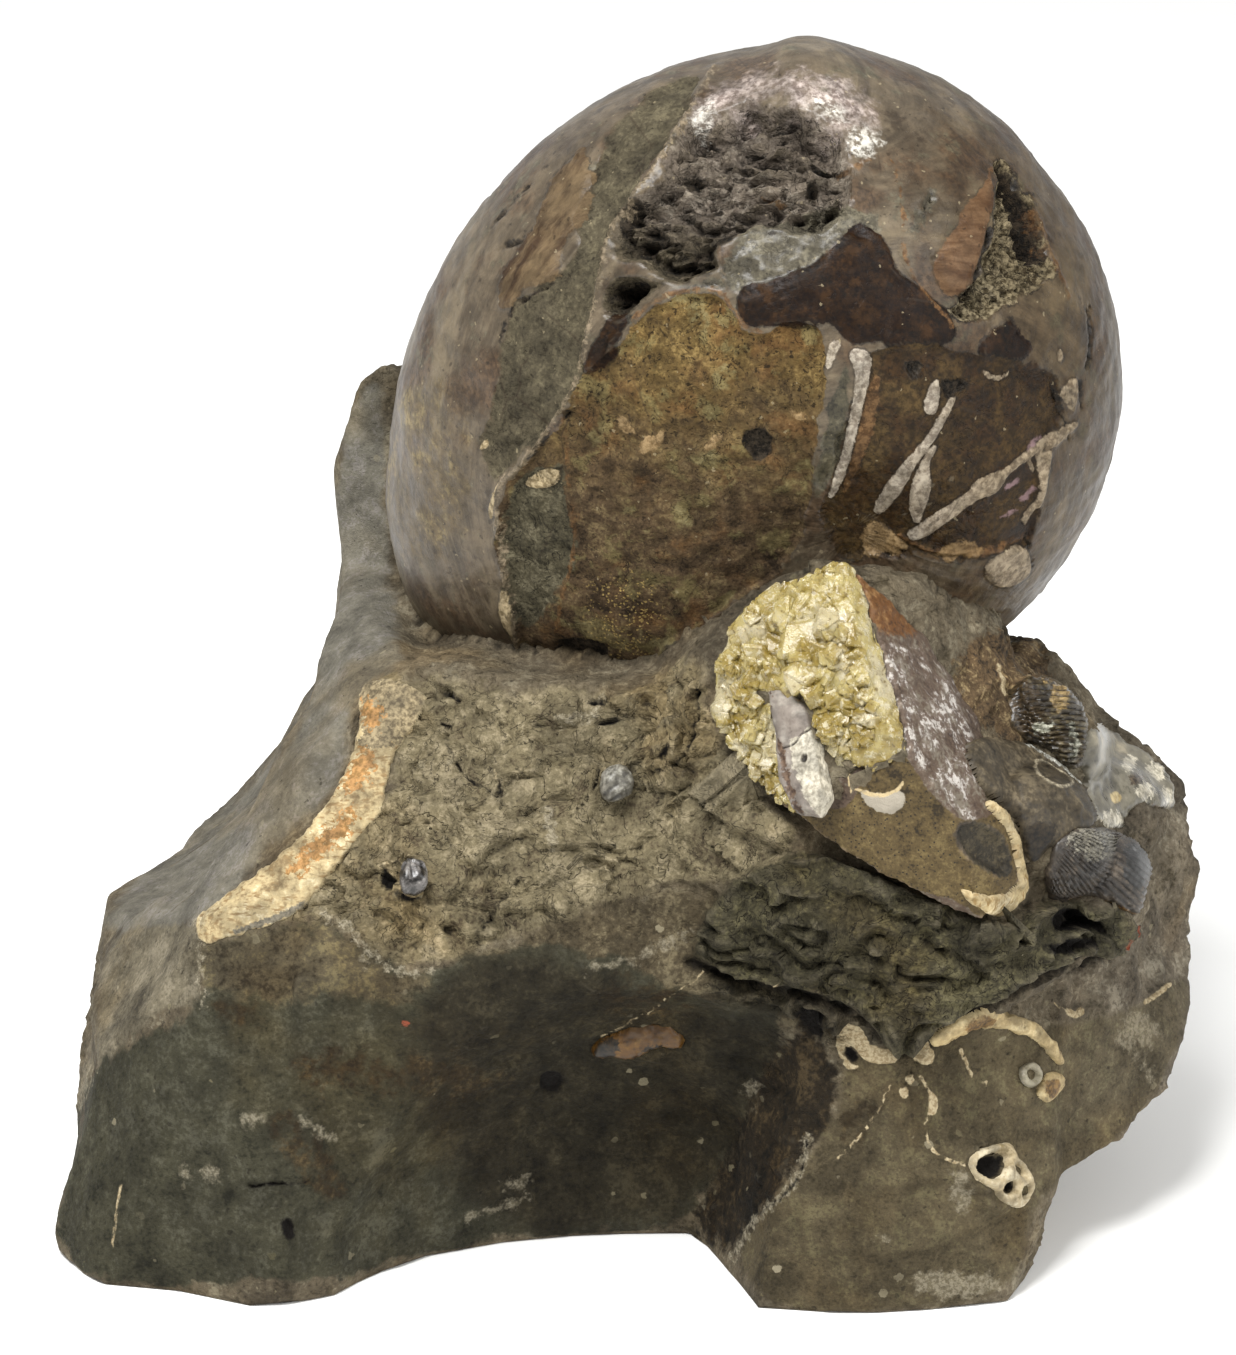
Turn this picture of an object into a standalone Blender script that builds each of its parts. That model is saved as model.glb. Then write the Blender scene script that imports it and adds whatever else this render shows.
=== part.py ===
"""A fossil ammonite half freed from its block of grey mudstone, with the other fossils that the block holds.

The block stands flat on Z = 0, and its front, which shows the ammonite's side, faces -Y. Every size and place
below is in millimetres, and add_object turns them into metres. Each fossil is a solid of its own in a socket
of the block, with a gap of GAP all round.
"""

import math

import bmesh
import bpy
from mathutils import Matrix, Vector, noise
from mathutils.bvhtree import BVHTree

MM = 0.001
GAP = 0.35

# The middle of the block, as the corners (x, y, z) of one convex lump.
CORE = [
    (-60, -58, -3), (-50, 50, -3), (40, 50, -3), (30, -58, -3), (-56, -56, 60), (34, -54, 54),
    (-50, 50, 52), (40, 50, 52),
]

# The block, as lumps whose corners are (x, y, z). Each lump is the convex hull of its corners.
LUMPS = {
    "left_foot": [
        (-100, -18, -3), (-100, -43, -3), (-92, -55, -3), (-62, -66, -3), (-45, -58, -3), (-34, -34, -3),
        (-30, 40, -3), (-70, 60, -3), (-97, 30, -3), (-100, -34, 1), (-99, -18, 5), (-98, 0, 22),
        (-98, 20, 21), (-92, -38, 37), (-96, 10, 36), (-95, 25, 45), (-72, -51, 53), (-73, -44, 63),
        (-85, 35, 51), (-76, 36, 54), (-46, -52, 66), (-40, 45, 52),
    ],
    "shelf": [
        (-73, -44, 63), (-46, -52, 66), (-31, -56, 61), (-10, -53, 65), (12, -50, 53), (35, -50, 55),
        (-47, -20, 98), (-38, -20, 103), (-17, -25, 101), (6, -29, 103), (-60, 50, 31), (40, 50, 31),
        (-50, 45, 94), (40, 40, 94), (-30, -40, 44), (12, -30, 38),
    ],
    "ramp": [
        (-76, -44, 60), (-47, -20, 98), (-38, -20, 103), (-79, 36, 50), (-78, 50, 48), (-57, 40, 78),
        (-53, 41, 102), (-60, 60, 51), (-30, 0, 67), (-40, 60, 100),
    ],
    "rear_wall": [
        (-43, 45, 139.5), (-48, 43, 136), (-51, 42, 127), (-53, 41, 112), (-51.5, 41, 100), (-57, 44, 73),
        (-46, 62, 125), (-36, 66, 131), (-20, 72, 118), (-56, 64, 80), (-50, 68, 40), (-40, 66, -3),
        (-10, 76, 50), (30, 74, 60), (40, 70, 95), (66, 52, 89), (60, 60, -3), (0, 70, -3),
        (-30, 30, 95), (50, 20, 85), (-20, 10, 25), (50, 10, 25),
    ],
    "back_left": [
        (-95, 28, -3), (-72, 58, -3), (-42, 70, -3), (-86, 34, 45), (-64, 58, 48), (-44, 68, 62), (-51, 62, 96),
        (-57, 44, 74), (-78, 48, 46), (-20, 50, 60), (-20, 50, -3), (-92, 42, 20),
    ],
    "back_right": [
        (73, 36, -3), (62, 64, -3), (30, 72, -3), (66, 54, 87), (88, 46, 20), (90, 44, 56), (42, 71, 90),
        (20, 74, 40), (50, 0, -3), (50, 0, 60), (82, 20, 10), (76, 58, 30),
    ],
    "right_bed": [
        (75, 12, 96), (82, 6, 86), (82, 28, 79), (78, 44, 75), (66, 54, 86), (60, 0, 98), (50, 20, 90),
        (60, 44, 70), (86, 24, 66), (60, 0, 70), (72, -14, 96),
    ],
    "umbilical_fill": [
        (10, -30, 106), (16, -33, 114), (26, -35, 123), (40, -38, 128), (52, -33, 122), (67, -18, 112),
        (71, 0, 101), (4, -40, 92), (20, -46, 89), (60, -48, 86), (30, 0, 98), (60, 0, 98), (70, -30, 98),
        (4, -10, 100), (24, -10, 118),
    ],
}

# Lumps that stand out past the hollows below.
LATER_LUMPS = {
    "right_foot": [
        (24, -66, -3), (44, -69, -3), (67, -63, -3), (72, -50, -3), (73, -10, -3), (72, 40, -3), (30, 40, -3),
        (12, -12, -3), (12, -32, -3), (34, -54, 52), (54, -58, 49), (77, -51, 18), (80, -40, 55),
        (20, -20, 48), (78, 30, 23),
    ],
    "right_flank": [
        (76, -49, 15), (91, -38, 19), (99.5, -25, 28), (103.5, -15, 36), (103, -10, 43), (105.5, -5, 52),
        (105, 0, 61), (102.5, 5, 72), (94, 10, 80), (85, 12, 88.5), (76, 15, 97), (82, -34, 66),
        (66, -42, 62), (60, 52, 88), (93, 42, 60), (90, 44, 18), (60, 60, 10), (50, 0, 56),
    ],
    "brow": [
        (12, -48, 52), (32, -58, 51), (54, -61, 48), (72, -55, 55), (86, -42, 58), (90, -30, 65),
        (22, -50, 90), (36, -58, 78), (62, -59, 72), (80, -42, 72), (40, -10, 57), (70, -10, 88),
    ],
    "throat": [
        (0, -38, 84), (14, -45, 89), (30, -55, 86), (8, -44, 70), (30, -52, 64), (0, -20, 70), (30, -20, 70),
        (16, -32, 98), (2, -30, 96), (36, -54, 78),
    ],
    "right_shoulder": [
        (71, 8, 96), (82, 6, 87), (66, -22, 107), (60, -30, 104), (80, -20, 87), (87, -20, 74),
        (60, 10, 76), (79, -38, 80), (98, -8, 69), (85, -43, 62), (58, -57, 72), (24, -50, 80),
        (62, -50, 90), (40, -40, 96), (96, -24, 65), (91, -12, 77),
    ],
}

# Broken hollows of the block, as ellipsoids: centre, radii, and turn about Y in degrees.
SCOOPS = {
    "front_recess": ((4, -82, 0), (61, 48, 69), 0),
    "shelf_scoop": ((-20, -74, 116), (50, 38, 42), 0),
    "ramp_scoop": ((-105, 40, 101), (54, 110, 60), 0),
    "back_scoop": ((8, 112, 36), (66, 46, 42), 12),
    "back_left_scoop": ((-86, 86, 30), (44, 42, 52), -20),
    "back_right_scoop": ((84, 96, 62), (44, 40, 34), 25),
}


BLOCK_CELL = 1.6  # size of the grid on which the lumps run together
BLOCK_DETAIL = 0.0235  # share of that grid's faces that the block keeps
BLOCK_BUMPS = [(22, 5), (6, 1.5)]  # how far apart and how high the block's lumps and chips are
FLOOR_CUTTER = ((0, 0, -20), (300, 300, 40))  # centre and size of the box that cuts the block off flat

# The ammonite's coil: its centre, how far its axis dips below level towards the front, and its radius by
# the angle round the coil, seen from the front with 0 to the right and 90 up. It grows anticlockwise.
COIL_CENTRE = (40.6, 15, 144.5)
COIL_DIP = 18
COIL_RADII = [
    (0, 49.5), (45, 52.5), (75, 59.3), (90, 62.6), (135, 70.2), (160, 74.6), (185, 81.5), (212, 91), (240, 84), (275, 60), (315, 52),
]
COIL_HALF_WIDTH = 50
SHELL_LIP = (97, 9, 3.4)  # where the outer shell ends in a raised lip: angle round the coil, spread, and height
COIL_ROUNDNESS = 0.92  # 1 gives the whorl an elliptic section, and less a boxier one
UMBILICUS_DEPTH = 5
UMBILICUS_WIDTH = 0.26  # as an angle across the whorl, in radians
AMMONITE_DETAIL = 0.145

# Places on the front flank where shell is missing, in the coil's own right and up: the outline, how deep
# it lies, how far its edge slopes, and how rough its floor is.
SHELL_BREAKS = {
    "infill": ([
        (-62, -48), (-63, -20), (-61, -2), (-53, 9), (-45, 25), (-42, 32), (-37, 38), (-30, 43), (-24, 44),
        (-17, 38), (-5, 40), (1, 37), (-1, 20), (-6, -6), (-16, -11), (-26, -23), (-34, -34), (-44, -52),
    ], 1.1, 1.5, 0.5),
    "crushed": ([
        (-45, 30), (-43, 45), (-35, 55), (-27, 60), (-16, 63), (-4, 63), (2, 58), (7, 49), (15, 39),
        (0, 38), (-6, 41), (-16, 39), (-20, 43), (-27, 44), (-37, 40),
    ], 3.6, 3, 3.4),
    "chambers": ([(2, 34), (16, 34), (34, 34), (41, 22), (38, 2), (26, -6), (-3, -6), (0, 14)], 0.9, 1.5, 0.7),
    "gash": ([(24, 52), (28, 50), (32, 44), (35, 36), (19, 36), (21, 41), (25, 44)], 3.4, 1.5, 1),
    "grey_band": ([
        (-70, 20), (-64, 34), (-52, 50), (-38, 63), (-30, 63), (-37, 57), (-44, 44), (-46, 31), (-58, 10),
        (-64, -2), (-68, -2),
    ], 0.9, 1.5, 0.6),
}
SEPTA = [  # walls between chambers that stand out of the flank: from, to, and half their width
    ((2, 34), (-2, 6), 1.2), ((17, 30), (3, 2), 1.1), ((31, 18), (6, 0), 1.2),
]
SEPTUM_HEIGHT = 1.3

# The broken piece of another shell below the ammonite's navel. Its first three corners lie on the face that
# calcite lines, and the calcite takes the outer CRUST_DEPTH of it.
FRAGMENT = [
    (38.6, -44, 131.6), (46.3, -63, 107.1), (16.1, -47, 104.5), (42, -60, 115.5), (57.9, -64, 91),
    (53.1, -38, 115), (62.5, -38, 99.9), (60.9, -58, 89.5), (21.4, -42, 121.8), (16.6, -44, 112.9),
    (23.9, -53, 93.8), (37.3, -60, 84.8), (50.5, -62, 77.5), (62, -62, 72), (69, -57, 77), (66, -56, 89),
    (26, -34, 110), (50, -30, 108), (24, -36, 96), (58, -36, 84), (40, -34, 120),
]
CRUST_DEPTH = 3.2
CRYSTALS = 26
CRYSTAL_RADIUS = (1.5, 3.2)
CRYSTAL_HEIGHT = (1.8, 4.8)

# A plate of septum that lies in the calcite, as an outline across and up the calcite's face from its top.
SEPTUM_PLATE = [(-8, -24), (-3.5, -23), (0.5, -26), (4, -32), (8, -41), (7, -44.5), (2.5, -44.5), (-1.5, -40), (-4, -33)]
SEPTUM_PLATE_PROUD = 1.2

# Shells that lie in the block's front, on the surface at (x, z): half-width, half-height, height above the
# stone, depth in it, turn in degrees, ribs, and colour.
DOMES = {
    "ribbed_ammonite": ((76, 92.5), (8.5, 11), 6.5, 5, 20, 14, (0.06, 0.05, 0.04)),
    "smooth_shell": ((74, 82), (12, 8.5), 5.5, 5, -38, 0, (0.12, 0.09, 0.06)),
    "ribbed_clam": ((86, 67.5), (10, 6.5), 4, 5, -32, 12, (0.07, 0.06, 0.06)),
    "pearl_patch": ((92.5, 74.5), (6, 9), 1.6, 5, 25, 0, (0.45, 0.45, 0.42)),
    "orange_shell": ((4, 40), (8, 3.2), 1.6, 3, 4, 0, (0.30, 0.14, 0.05)),
    "tiny_snail": ((-36, 73), (2.8, 2.6), 2.4, 2, 20, 0, (0.20, 0.20, 0.22)),
    "white_snail": ((-0.5, 88), (2.6, 3.4), 1.6, 2, -25, 0, (0.45, 0.42, 0.38)),
}
RIB_HEIGHT = 0.09  # as a share of the shell's own size

# Shells seen on edge, as strips over the surface: the middle (x, z) and half-width at each point, height
# above the stone, depth in it, and colour.
STRIPS = {
    "shell_band": ([
        (-38.7, 100.5, 3.2), (-41.6, 95, 3.8), (-43.8, 89.3, 3.6), (-47.4, 83.5, 4), (-53, 77, 4.4),
        (-61.5, 68.6, 4.2), (-70, 63, 2.6),
    ], 0.9, 2.2, (0.62, 0.47, 0.30)),
    "fragment_rim": ([
        (63.5, 92, 0.8), (66.5, 89.5, 0.9), (69, 83, 1), (70, 76.5, 1.1), (67.2, 71.6, 1.4), (62.5, 69.4, 1.6),
    ], 0.9, 2, (0.60, 0.50, 0.34)),
    "shell_arc": ([
        (54, 50.4, 0.8), (58.5, 50.2, 1), (63.9, 48.9, 1.2), (68.5, 47.6, 1.2), (72.1, 45.3, 1.1), (75.5, 41, 0.8),
    ], 0.8, 2, (0.62, 0.55, 0.44)),
}

# Round sections through small shells: the (x, z), radius and thickness of each ring. Rings of one entry touch.
RINGS = {
    "shell_rings": [((62.6, 25), 3.6, 0.8), ((66.2, 20.6), 3.1, 0.8)],
    "small_ring": [((72.8, 36.6), 2.8, 0.75)],
}
RING_COLOR = (0.62, 0.55, 0.44)


def clear_scene():
    for thing in list(bpy.data.objects):
        bpy.data.objects.remove(thing)


def stone_material(name, color, roughness=0.8, clearness=0):
    material = bpy.data.materials.new(name)
    material.use_nodes = True
    shader = material.node_tree.nodes["Principled BSDF"]
    shader.inputs["Base Color"].default_value = (*color, 1)
    shader.inputs["Roughness"].default_value = roughness
    shader.inputs["Transmission Weight"].default_value = clearness
    return material


def add_object(name, mesh_data, material=None):
    """A bmesh in millimetres as a named object, in metres."""
    bmesh.ops.recalc_face_normals(mesh_data, faces=mesh_data.faces)
    bmesh.ops.scale(mesh_data, vec=(MM, MM, MM), verts=mesh_data.verts)
    mesh = bpy.data.meshes.new(name)
    mesh_data.to_mesh(mesh)
    mesh_data.free()
    thing = bpy.data.objects.new(name, mesh)
    bpy.context.scene.collection.objects.link(thing)
    if material:
        mesh.materials.append(material)
    return thing


def as_guide(thing):
    """Keeps a cutter or a lump in the file without making it a piece of the fossil."""
    thing.hide_render = True
    thing.display_type = "WIRE"
    return thing


def guides(name, maker, shapes):
    """A collection of guides, one for each entry of shapes, for a Boolean to take together."""
    group = bpy.data.collections.new(name)
    for key, shape in shapes.items():
        group.objects.link(as_guide(maker(key, shape)))
    return group


def evaluated(thing):
    """The object's mesh with its modifiers applied, as a bmesh in metres."""
    shape = bmesh.new()
    shape.from_object(thing, bpy.context.evaluated_depsgraph_get())
    return shape


def bodies(shape):
    """The separate bodies of a bmesh, as lists of vertices, the largest last."""
    left = set(shape.verts)
    found = []
    while left:
        front = [left.pop()]
        body = list(front)
        while front:
            for edge in front.pop().link_edges:
                for vert in edge.verts:
                    if vert in left:
                        left.remove(vert)
                        front.append(vert)
                        body.append(vert)
        found.append(body)
    return sorted(found, key=len)


def settle(thing):
    """Applies the object's modifiers and drops any crumb that they cut loose."""
    shape = evaluated(thing)
    for crumb in bodies(shape)[:-1]:
        bmesh.ops.delete(shape, geom=crumb, context="VERTS")
    thing.modifiers.clear()
    shape.to_mesh(thing.data)
    shape.free()


def hull_mesh(corners):
    lump = bmesh.new()
    for corner in corners:
        lump.verts.new(corner)
    made = bmesh.ops.convex_hull(lump, input=lump.verts)
    inside = {v for v in made["geom_interior"] + made["geom_unused"] if isinstance(v, bmesh.types.BMVert)}
    bmesh.ops.delete(lump, geom=list(inside), context="VERTS")
    return lump


def hull(name, corners):
    return add_object(name, hull_mesh(corners))


def ellipsoid(name, shape):
    centre, radii, turn = shape
    ball = bmesh.new()
    bmesh.ops.create_icosphere(ball, subdivisions=4, radius=1)
    place = Matrix.Translation(centre) @ Matrix.Rotation(math.radians(turn), 4, "Y") @ Matrix.Diagonal((*radii, 1))
    bmesh.ops.transform(ball, matrix=place, verts=ball.verts)
    return add_object(name, ball)


def box(name, shape):
    centre, size = shape
    cube = bmesh.new()
    bmesh.ops.create_cube(cube, size=1, matrix=Matrix.Translation(centre) @ Matrix.Diagonal((*size, 1)))
    return add_object(name, cube)


def grown(name, thing, filled=False):
    """A guide of the object's shape, or of its convex hull, made larger by GAP all round."""
    shape = evaluated(thing)
    if filled:
        corners = [v.co.copy() for v in shape.verts]
        shape.free()
        shape = hull_mesh(corners)
    bmesh.ops.recalc_face_normals(shape, faces=shape.faces)
    shape.normal_update()
    outward = [(v, v.normal * GAP * MM * min(v.calc_shell_factor(), 2)) for v in shape.verts]
    for vert, step in outward:
        vert.co += step
    bmesh.ops.scale(shape, vec=(1 / MM, 1 / MM, 1 / MM), verts=shape.verts)
    return add_object(name, shape)


def boolean(thing, others, operation, solver="EXACT"):
    step = thing.modifiers.new(operation.lower(), "BOOLEAN")
    step.operation = operation
    step.solver = solver
    if isinstance(others, bpy.types.Collection):
        step.operand_type = "COLLECTION"
        step.collection = others
    else:
        step.object = others


def roughen(thing, size, strength):
    """Pushes the surface in and out along its normals by a noise whose features are size mm across."""
    texture = bpy.data.textures.new(f"{thing.name}_{size}", "CLOUDS")
    texture.noise_scale = size * MM
    step = thing.modifiers.new(texture.name, "DISPLACE")
    step.texture = texture
    step.texture_coords = "LOCAL"
    step.mid_level = 0.5
    step.strength = strength * MM


def thin_out(thing, share):
    thing.modifiers.new("fewer_faces", "DECIMATE").ratio = share


def between(angle, table):
    """Smooth, cyclic interpolation of (angle, value) pairs that are in order."""
    angle %= 360
    count = len(table)
    for i in range(count):
        start, low = table[i]
        end, high = table[(i + 1) % count]
        if end <= start:
            end += 360
        for turned in (angle, angle + 360):
            if start <= turned < end:
                before = table[i - 1][1]
                after = table[(i + 2) % count][1]
                t = (turned - start) / (end - start)
                return 0.5 * (
                    2 * low
                    + (high - before) * t
                    + (2 * before - 5 * low + 4 * high - after) * t * t
                    + (3 * low - 3 * high + after - before) * t**3
                )
    raise ValueError("the table has no stretch for this angle")


def ramp(value):
    value = min(max(value, 0), 1)
    return value * value * (3 - 2 * value)


def from_line(point, start, end):
    """How far a point is from the straight line between two others."""
    along = end - start
    share = min(max((point - start).dot(along) / along.length_squared, 0), 1)
    return (point - start - along * share).length


def depth_inside(point, outline):
    """How far a point is inside an outline, or minus how far it is outside."""
    corners = [Vector(corner) for corner in outline]
    nearest = min(from_line(point, a, b) for a, b in zip(corners, corners[1:] + corners[:1]))
    inside = False
    for a, b in zip(corners, corners[1:] + corners[:1]):
        if (a.y > point.y) != (b.y > point.y) and point.x < (b.x - a.x) * (point.y - a.y) / (b.y - a.y) + a.x:
            inside = not inside
    return nearest if inside else -nearest


def closed_ball(around, across, point):
    """A closed surface: point(i, j) gives a place for each step round and across, and the ends are points."""
    ball = bmesh.new()
    front = ball.verts.new(point(0, 0))
    rows = [[ball.verts.new(point(i, j)) for i in range(around)] for j in range(1, across)]
    back = ball.verts.new(point(0, across))
    for i in range(around):
        k = (i + 1) % around
        ball.faces.new((front, rows[0][i], rows[0][k]))
        for near, far in zip(rows, rows[1:]):
            ball.faces.new((near[i], far[i], far[k], near[k]))
        ball.faces.new((back, rows[-1][k], rows[-1][i]))
    return ball


def face_frame(origin, normal):
    """Axes on a surface: level along it, up its slope, and out of it."""
    level = Vector((0, 0, 1)).cross(normal).normalized()
    frame = Matrix((level, normal.cross(level), normal)).transposed().to_4x4()
    return Matrix.Translation(origin) @ frame


def coil_frame():
    """Turns the coil's own axes, right, up and towards the front flank, into the block's."""
    dip = math.radians(COIL_DIP)
    right = Vector((1, 0, 0))
    axis = Vector((0, -math.cos(dip), -math.sin(dip)))
    frame = Matrix((right, axis.cross(right), axis)).transposed().to_4x4()
    return Matrix.Translation(COIL_CENTRE) @ frame


def shell_depth(right, up):
    """How far the front flank lies below the whole shell, at a place in the coil's axes."""
    place = Vector((right, up))
    depth = 0
    for outline, full, slope, rough in SHELL_BREAKS.values():
        inside = depth_inside(place, outline)
        if inside > 0:
            lumpy = noise.fractal(Vector((right, up, full)) / 7, 1, 2, 3) * rough
            depth = max(depth, (full + lumpy) * ramp(inside / slope))
    for start, end, half_width in SEPTA:
        away = from_line(place, Vector(start), Vector(end))
        depth -= SEPTUM_HEIGHT * ramp((2 * half_width - away) / half_width)
    return depth


def coil_point(angle, across):
    """A point of the shell in the coil's axes. Across runs from 0 at the front navel to pi at the back one."""
    radius = between(math.degrees(angle), COIL_RADII)
    lip_angle, lip_spread, lip_height = SHELL_LIP
    turned = (math.degrees(angle) - lip_angle) / (lip_spread * (0.6 if math.degrees(angle) > lip_angle else 1.7))
    radius += lip_height * math.exp(-turned * turned) * math.sin(across) ** 6
    reach = radius * math.sin(across) ** COIL_ROUNDNESS
    navel = math.exp(-((across / UMBILICUS_WIDTH) ** 2)) - math.exp(-(((math.pi - across) / UMBILICUS_WIDTH) ** 2))
    place = Vector((
        reach * math.cos(angle), reach * math.sin(angle), COIL_HALF_WIDTH * math.cos(across) - UMBILICUS_DEPTH * navel,
    ))
    if place.z > 0:
        inward = Vector((place.x / radius, place.y / radius, place.z / COIL_HALF_WIDTH)).normalized()
        place -= inward * shell_depth(place.x, place.y)
    return place


def make_ammonite():
    around, across = 120, 60
    frame = coil_frame()

    def point(i, j):
        return frame @ coil_point(2 * math.pi * i / around, math.pi * j / across)

    shell = add_object(
        "ammonite", closed_ball(around, across, point), stone_material("ammonite", (0.16, 0.11, 0.07), 0.4))
    thin_out(shell, AMMONITE_DETAIL)
    settle(shell)
    return shell


def make_block():
    block = hull("matrix", CORE)
    block.data.materials.append(stone_material("matrix", (0.13, 0.12, 0.10), 0.9))
    boolean(block, guides("first_lumps", hull, LUMPS), "UNION")
    boolean(block, guides("scoops", ellipsoid, SCOOPS), "DIFFERENCE")
    boolean(block, guides("later_lumps", hull, LATER_LUMPS), "UNION")
    skin = block.modifiers.new("one_skin", "REMESH")
    skin.mode = "VOXEL"
    skin.voxel_size = BLOCK_CELL * MM
    for size, strength in BLOCK_BUMPS:
        roughen(block, size, strength)
    thin_out(block, BLOCK_DETAIL)
    boolean(block, as_guide(box("floor_cutter", FLOOR_CUTTER)), "DIFFERENCE")
    settle(block)
    return block


def calcite_face():
    top, front, low = (Vector(corner) for corner in FRAGMENT[:3])
    return face_frame(top, (low - top).cross(front - top).normalized())


def slice_of_fragment(depth, keep_outer):
    """The part of the whole broken piece that is outside, or inside, a depth below its calcite face."""
    piece = hull_mesh(FRAGMENT)
    face = calcite_face()
    normal = face.col[2].xyz
    cut = bmesh.ops.bisect_plane(
        piece, geom=piece.verts[:] + piece.edges[:] + piece.faces[:], dist=0.0001,
        plane_co=face.translation - normal * depth, plane_no=normal,
        clear_outer=not keep_outer, clear_inner=keep_outer)
    edges = [part for part in cut["geom_cut"] if isinstance(part, bmesh.types.BMEdge)]
    bmesh.ops.edgeloop_fill(piece, edges=edges)
    return piece


def make_fragment():
    material = stone_material("shell_fragment", (0.16, 0.07, 0.05), 0.4)
    return add_object("shell_fragment", slice_of_fragment(CRUST_DEPTH + GAP / 2, False), material)


def crystal(name, shape):
    """A six-sided crystal with a three-sided point, standing on a frame."""
    frame, radius, height, turn = shape
    stone = bmesh.new()
    foot = bmesh.ops.create_circle(stone, segments=6, radius=radius, cap_ends=True)["verts"]
    body = bmesh.ops.extrude_face_region(stone, geom=stone.faces[:])["geom"]
    raised = [v for v in body if isinstance(v, bmesh.types.BMVert)]
    tip = sum((v.co for v in raised), Vector()) / 6
    for i, vert in enumerate(raised):
        vert.co = tip + (vert.co - tip) * 0.8 + Vector((0, 0, height * (0.72 if i % 2 else 0.5)))
    top = next(f for f in stone.faces if all(v in raised for v in f.verts))
    centre = bmesh.ops.poke(stone, faces=[top])["verts"][0]
    centre.co = tip + Vector((0.15 * radius, 0, height))
    for vert in foot:
        vert.co.z = -CRUST_DEPTH * 0.4
    place = frame @ Matrix.Rotation(turn, 4, "Z")
    bmesh.ops.transform(stone, matrix=place, verts=stone.verts)
    return add_object(name, stone)


def make_calcite(septum):
    slab = slice_of_fragment(CRUST_DEPTH - GAP / 2, True)
    face = calcite_face()
    outline = [(face.inverted() @ v.co).xy for v in slab.verts]
    surface = BVHTree.FromBMesh(slab)
    low = Vector((min(p.x for p in outline), min(p.y for p in outline)))
    high = Vector((max(p.x for p in outline), max(p.y for p in outline)))
    shapes = {}
    noise.seed_set(7)
    while len(shapes) < CRYSTALS:
        across, up, size, lean = (noise.random() for _ in range(4))
        start = face @ Vector((low.x + (high.x - low.x) * across, low.y + (high.y - low.y) * up, 20))
        hit, normal, _, _ = surface.ray_cast(start, -face.col[2].xyz)
        if hit is None or normal.dot(face.col[2].xyz) < 0.7:
            continue
        tilt = Matrix.Rotation((lean - 0.5) * 0.9, 4, "X") @ Matrix.Rotation((size - 0.5) * 0.9, 4, "Y")
        radius = CRYSTAL_RADIUS[0] + (CRYSTAL_RADIUS[1] - CRYSTAL_RADIUS[0]) * size
        height = CRYSTAL_HEIGHT[0] + (CRYSTAL_HEIGHT[1] - CRYSTAL_HEIGHT[0]) * lean * size
        frame = face_frame(hit - normal * 0.8, normal) @ tilt
        shapes[f"crystal_{len(shapes) + 1}"] = (frame, radius, height, across * math.pi)
    crust = add_object("calcite_crystals", slab, stone_material("calcite_crystals", (0.80, 0.70, 0.36), 0.15, 0.5))
    boolean(crust, guides("crystals", crystal, shapes), "UNION")
    boolean(crust, as_guide(grown("septum_socket", septum)), "DIFFERENCE")
    settle(crust)
    return crust


def make_septum():
    """The plate of septum, sunk into the calcite and a little rounded over."""
    face = calcite_face()
    plate = bmesh.new()
    middle = sum((Vector(p) for p in SEPTUM_PLATE), Vector((0, 0))) / len(SEPTUM_PLATE)
    layers = [(0.94, -CRUST_DEPTH * 0.6), (1, 0), (0.9, SEPTUM_PLATE_PROUD + 1.8)]
    rows = []
    for share, height in layers:
        row = [middle + (Vector(p) - middle) * share for p in SEPTUM_PLATE]
        rows.append([plate.verts.new(face @ Vector((*p, height))) for p in row])
    count = len(SEPTUM_PLATE)
    for lower, upper in zip(rows, rows[1:]):
        for i in range(count):
            k = (i + 1) % count
            plate.faces.new((lower[i], lower[k], upper[k], upper[i]))
    plate.faces.new(rows[0])
    plate.faces.new(rows[-1])
    return add_object("septum_plate", plate, stone_material("septum_plate", (0.30, 0.26, 0.27), 0.6))


class Surface:
    """The front of some objects, on which smaller things are laid by their x and z."""

    def __init__(self, things):
        self.trees = []
        for thing in things:
            shape = evaluated(thing)
            bmesh.ops.scale(shape, vec=(1 / MM, 1 / MM, 1 / MM), verts=shape.verts)
            self.trees.append(BVHTree.FromBMesh(shape))
            shape.free()

    def hit(self, x, z):
        """The place and the normal of the foremost surface at x and z, or None past its outline."""
        found = [tree.ray_cast(Vector((x, -200, z)), Vector((0, 1, 0))) for tree in self.trees]
        return min((f[:2] for f in found if f[0]), key=lambda f: f[0].y, default=None)

    def frame(self, x, z, reach=2):
        """Axes at a place, with the normal of the surface averaged over a circle of that reach."""
        place, normal = self.hit(x, z)
        for step in (Vector((reach, 0)), Vector((0, reach)), Vector((-reach, 0)), Vector((0, -reach))):
            beside = self.hit(x + step.x, z + step.y)
            if beside:
                normal = normal + beside[1]
        return face_frame(place, normal.normalized())


def make_dome(name, shape, surface):
    """A shell lying in the surface, round or oval, smooth or with ribs that fan out from its middle."""
    place, radii, height, depth, turn, ribs, color = shape
    frame = surface.frame(*place, reach=min(radii) * 0.7) @ Matrix.Rotation(math.radians(turn), 4, "Z")
    around, across = (2 * ribs, 6) if ribs else (12, 5)

    def point(i, j):
        angle = 2 * math.pi * i / around
        lean = math.pi * j / across
        rib = 1 + RIB_HEIGHT * (math.cos(ribs * angle) if ribs else 0) * math.sin(lean)
        up = height if math.cos(lean) > 0 else depth
        return frame @ Vector((
            radii[0] * rib * math.sin(lean) * math.cos(angle),
            radii[1] * rib * math.sin(lean) * math.sin(angle),
            up * math.cos(lean) * rib,
        ))

    return add_object(name, closed_ball(around, across, point), stone_material(name, color, 0.55))


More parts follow.
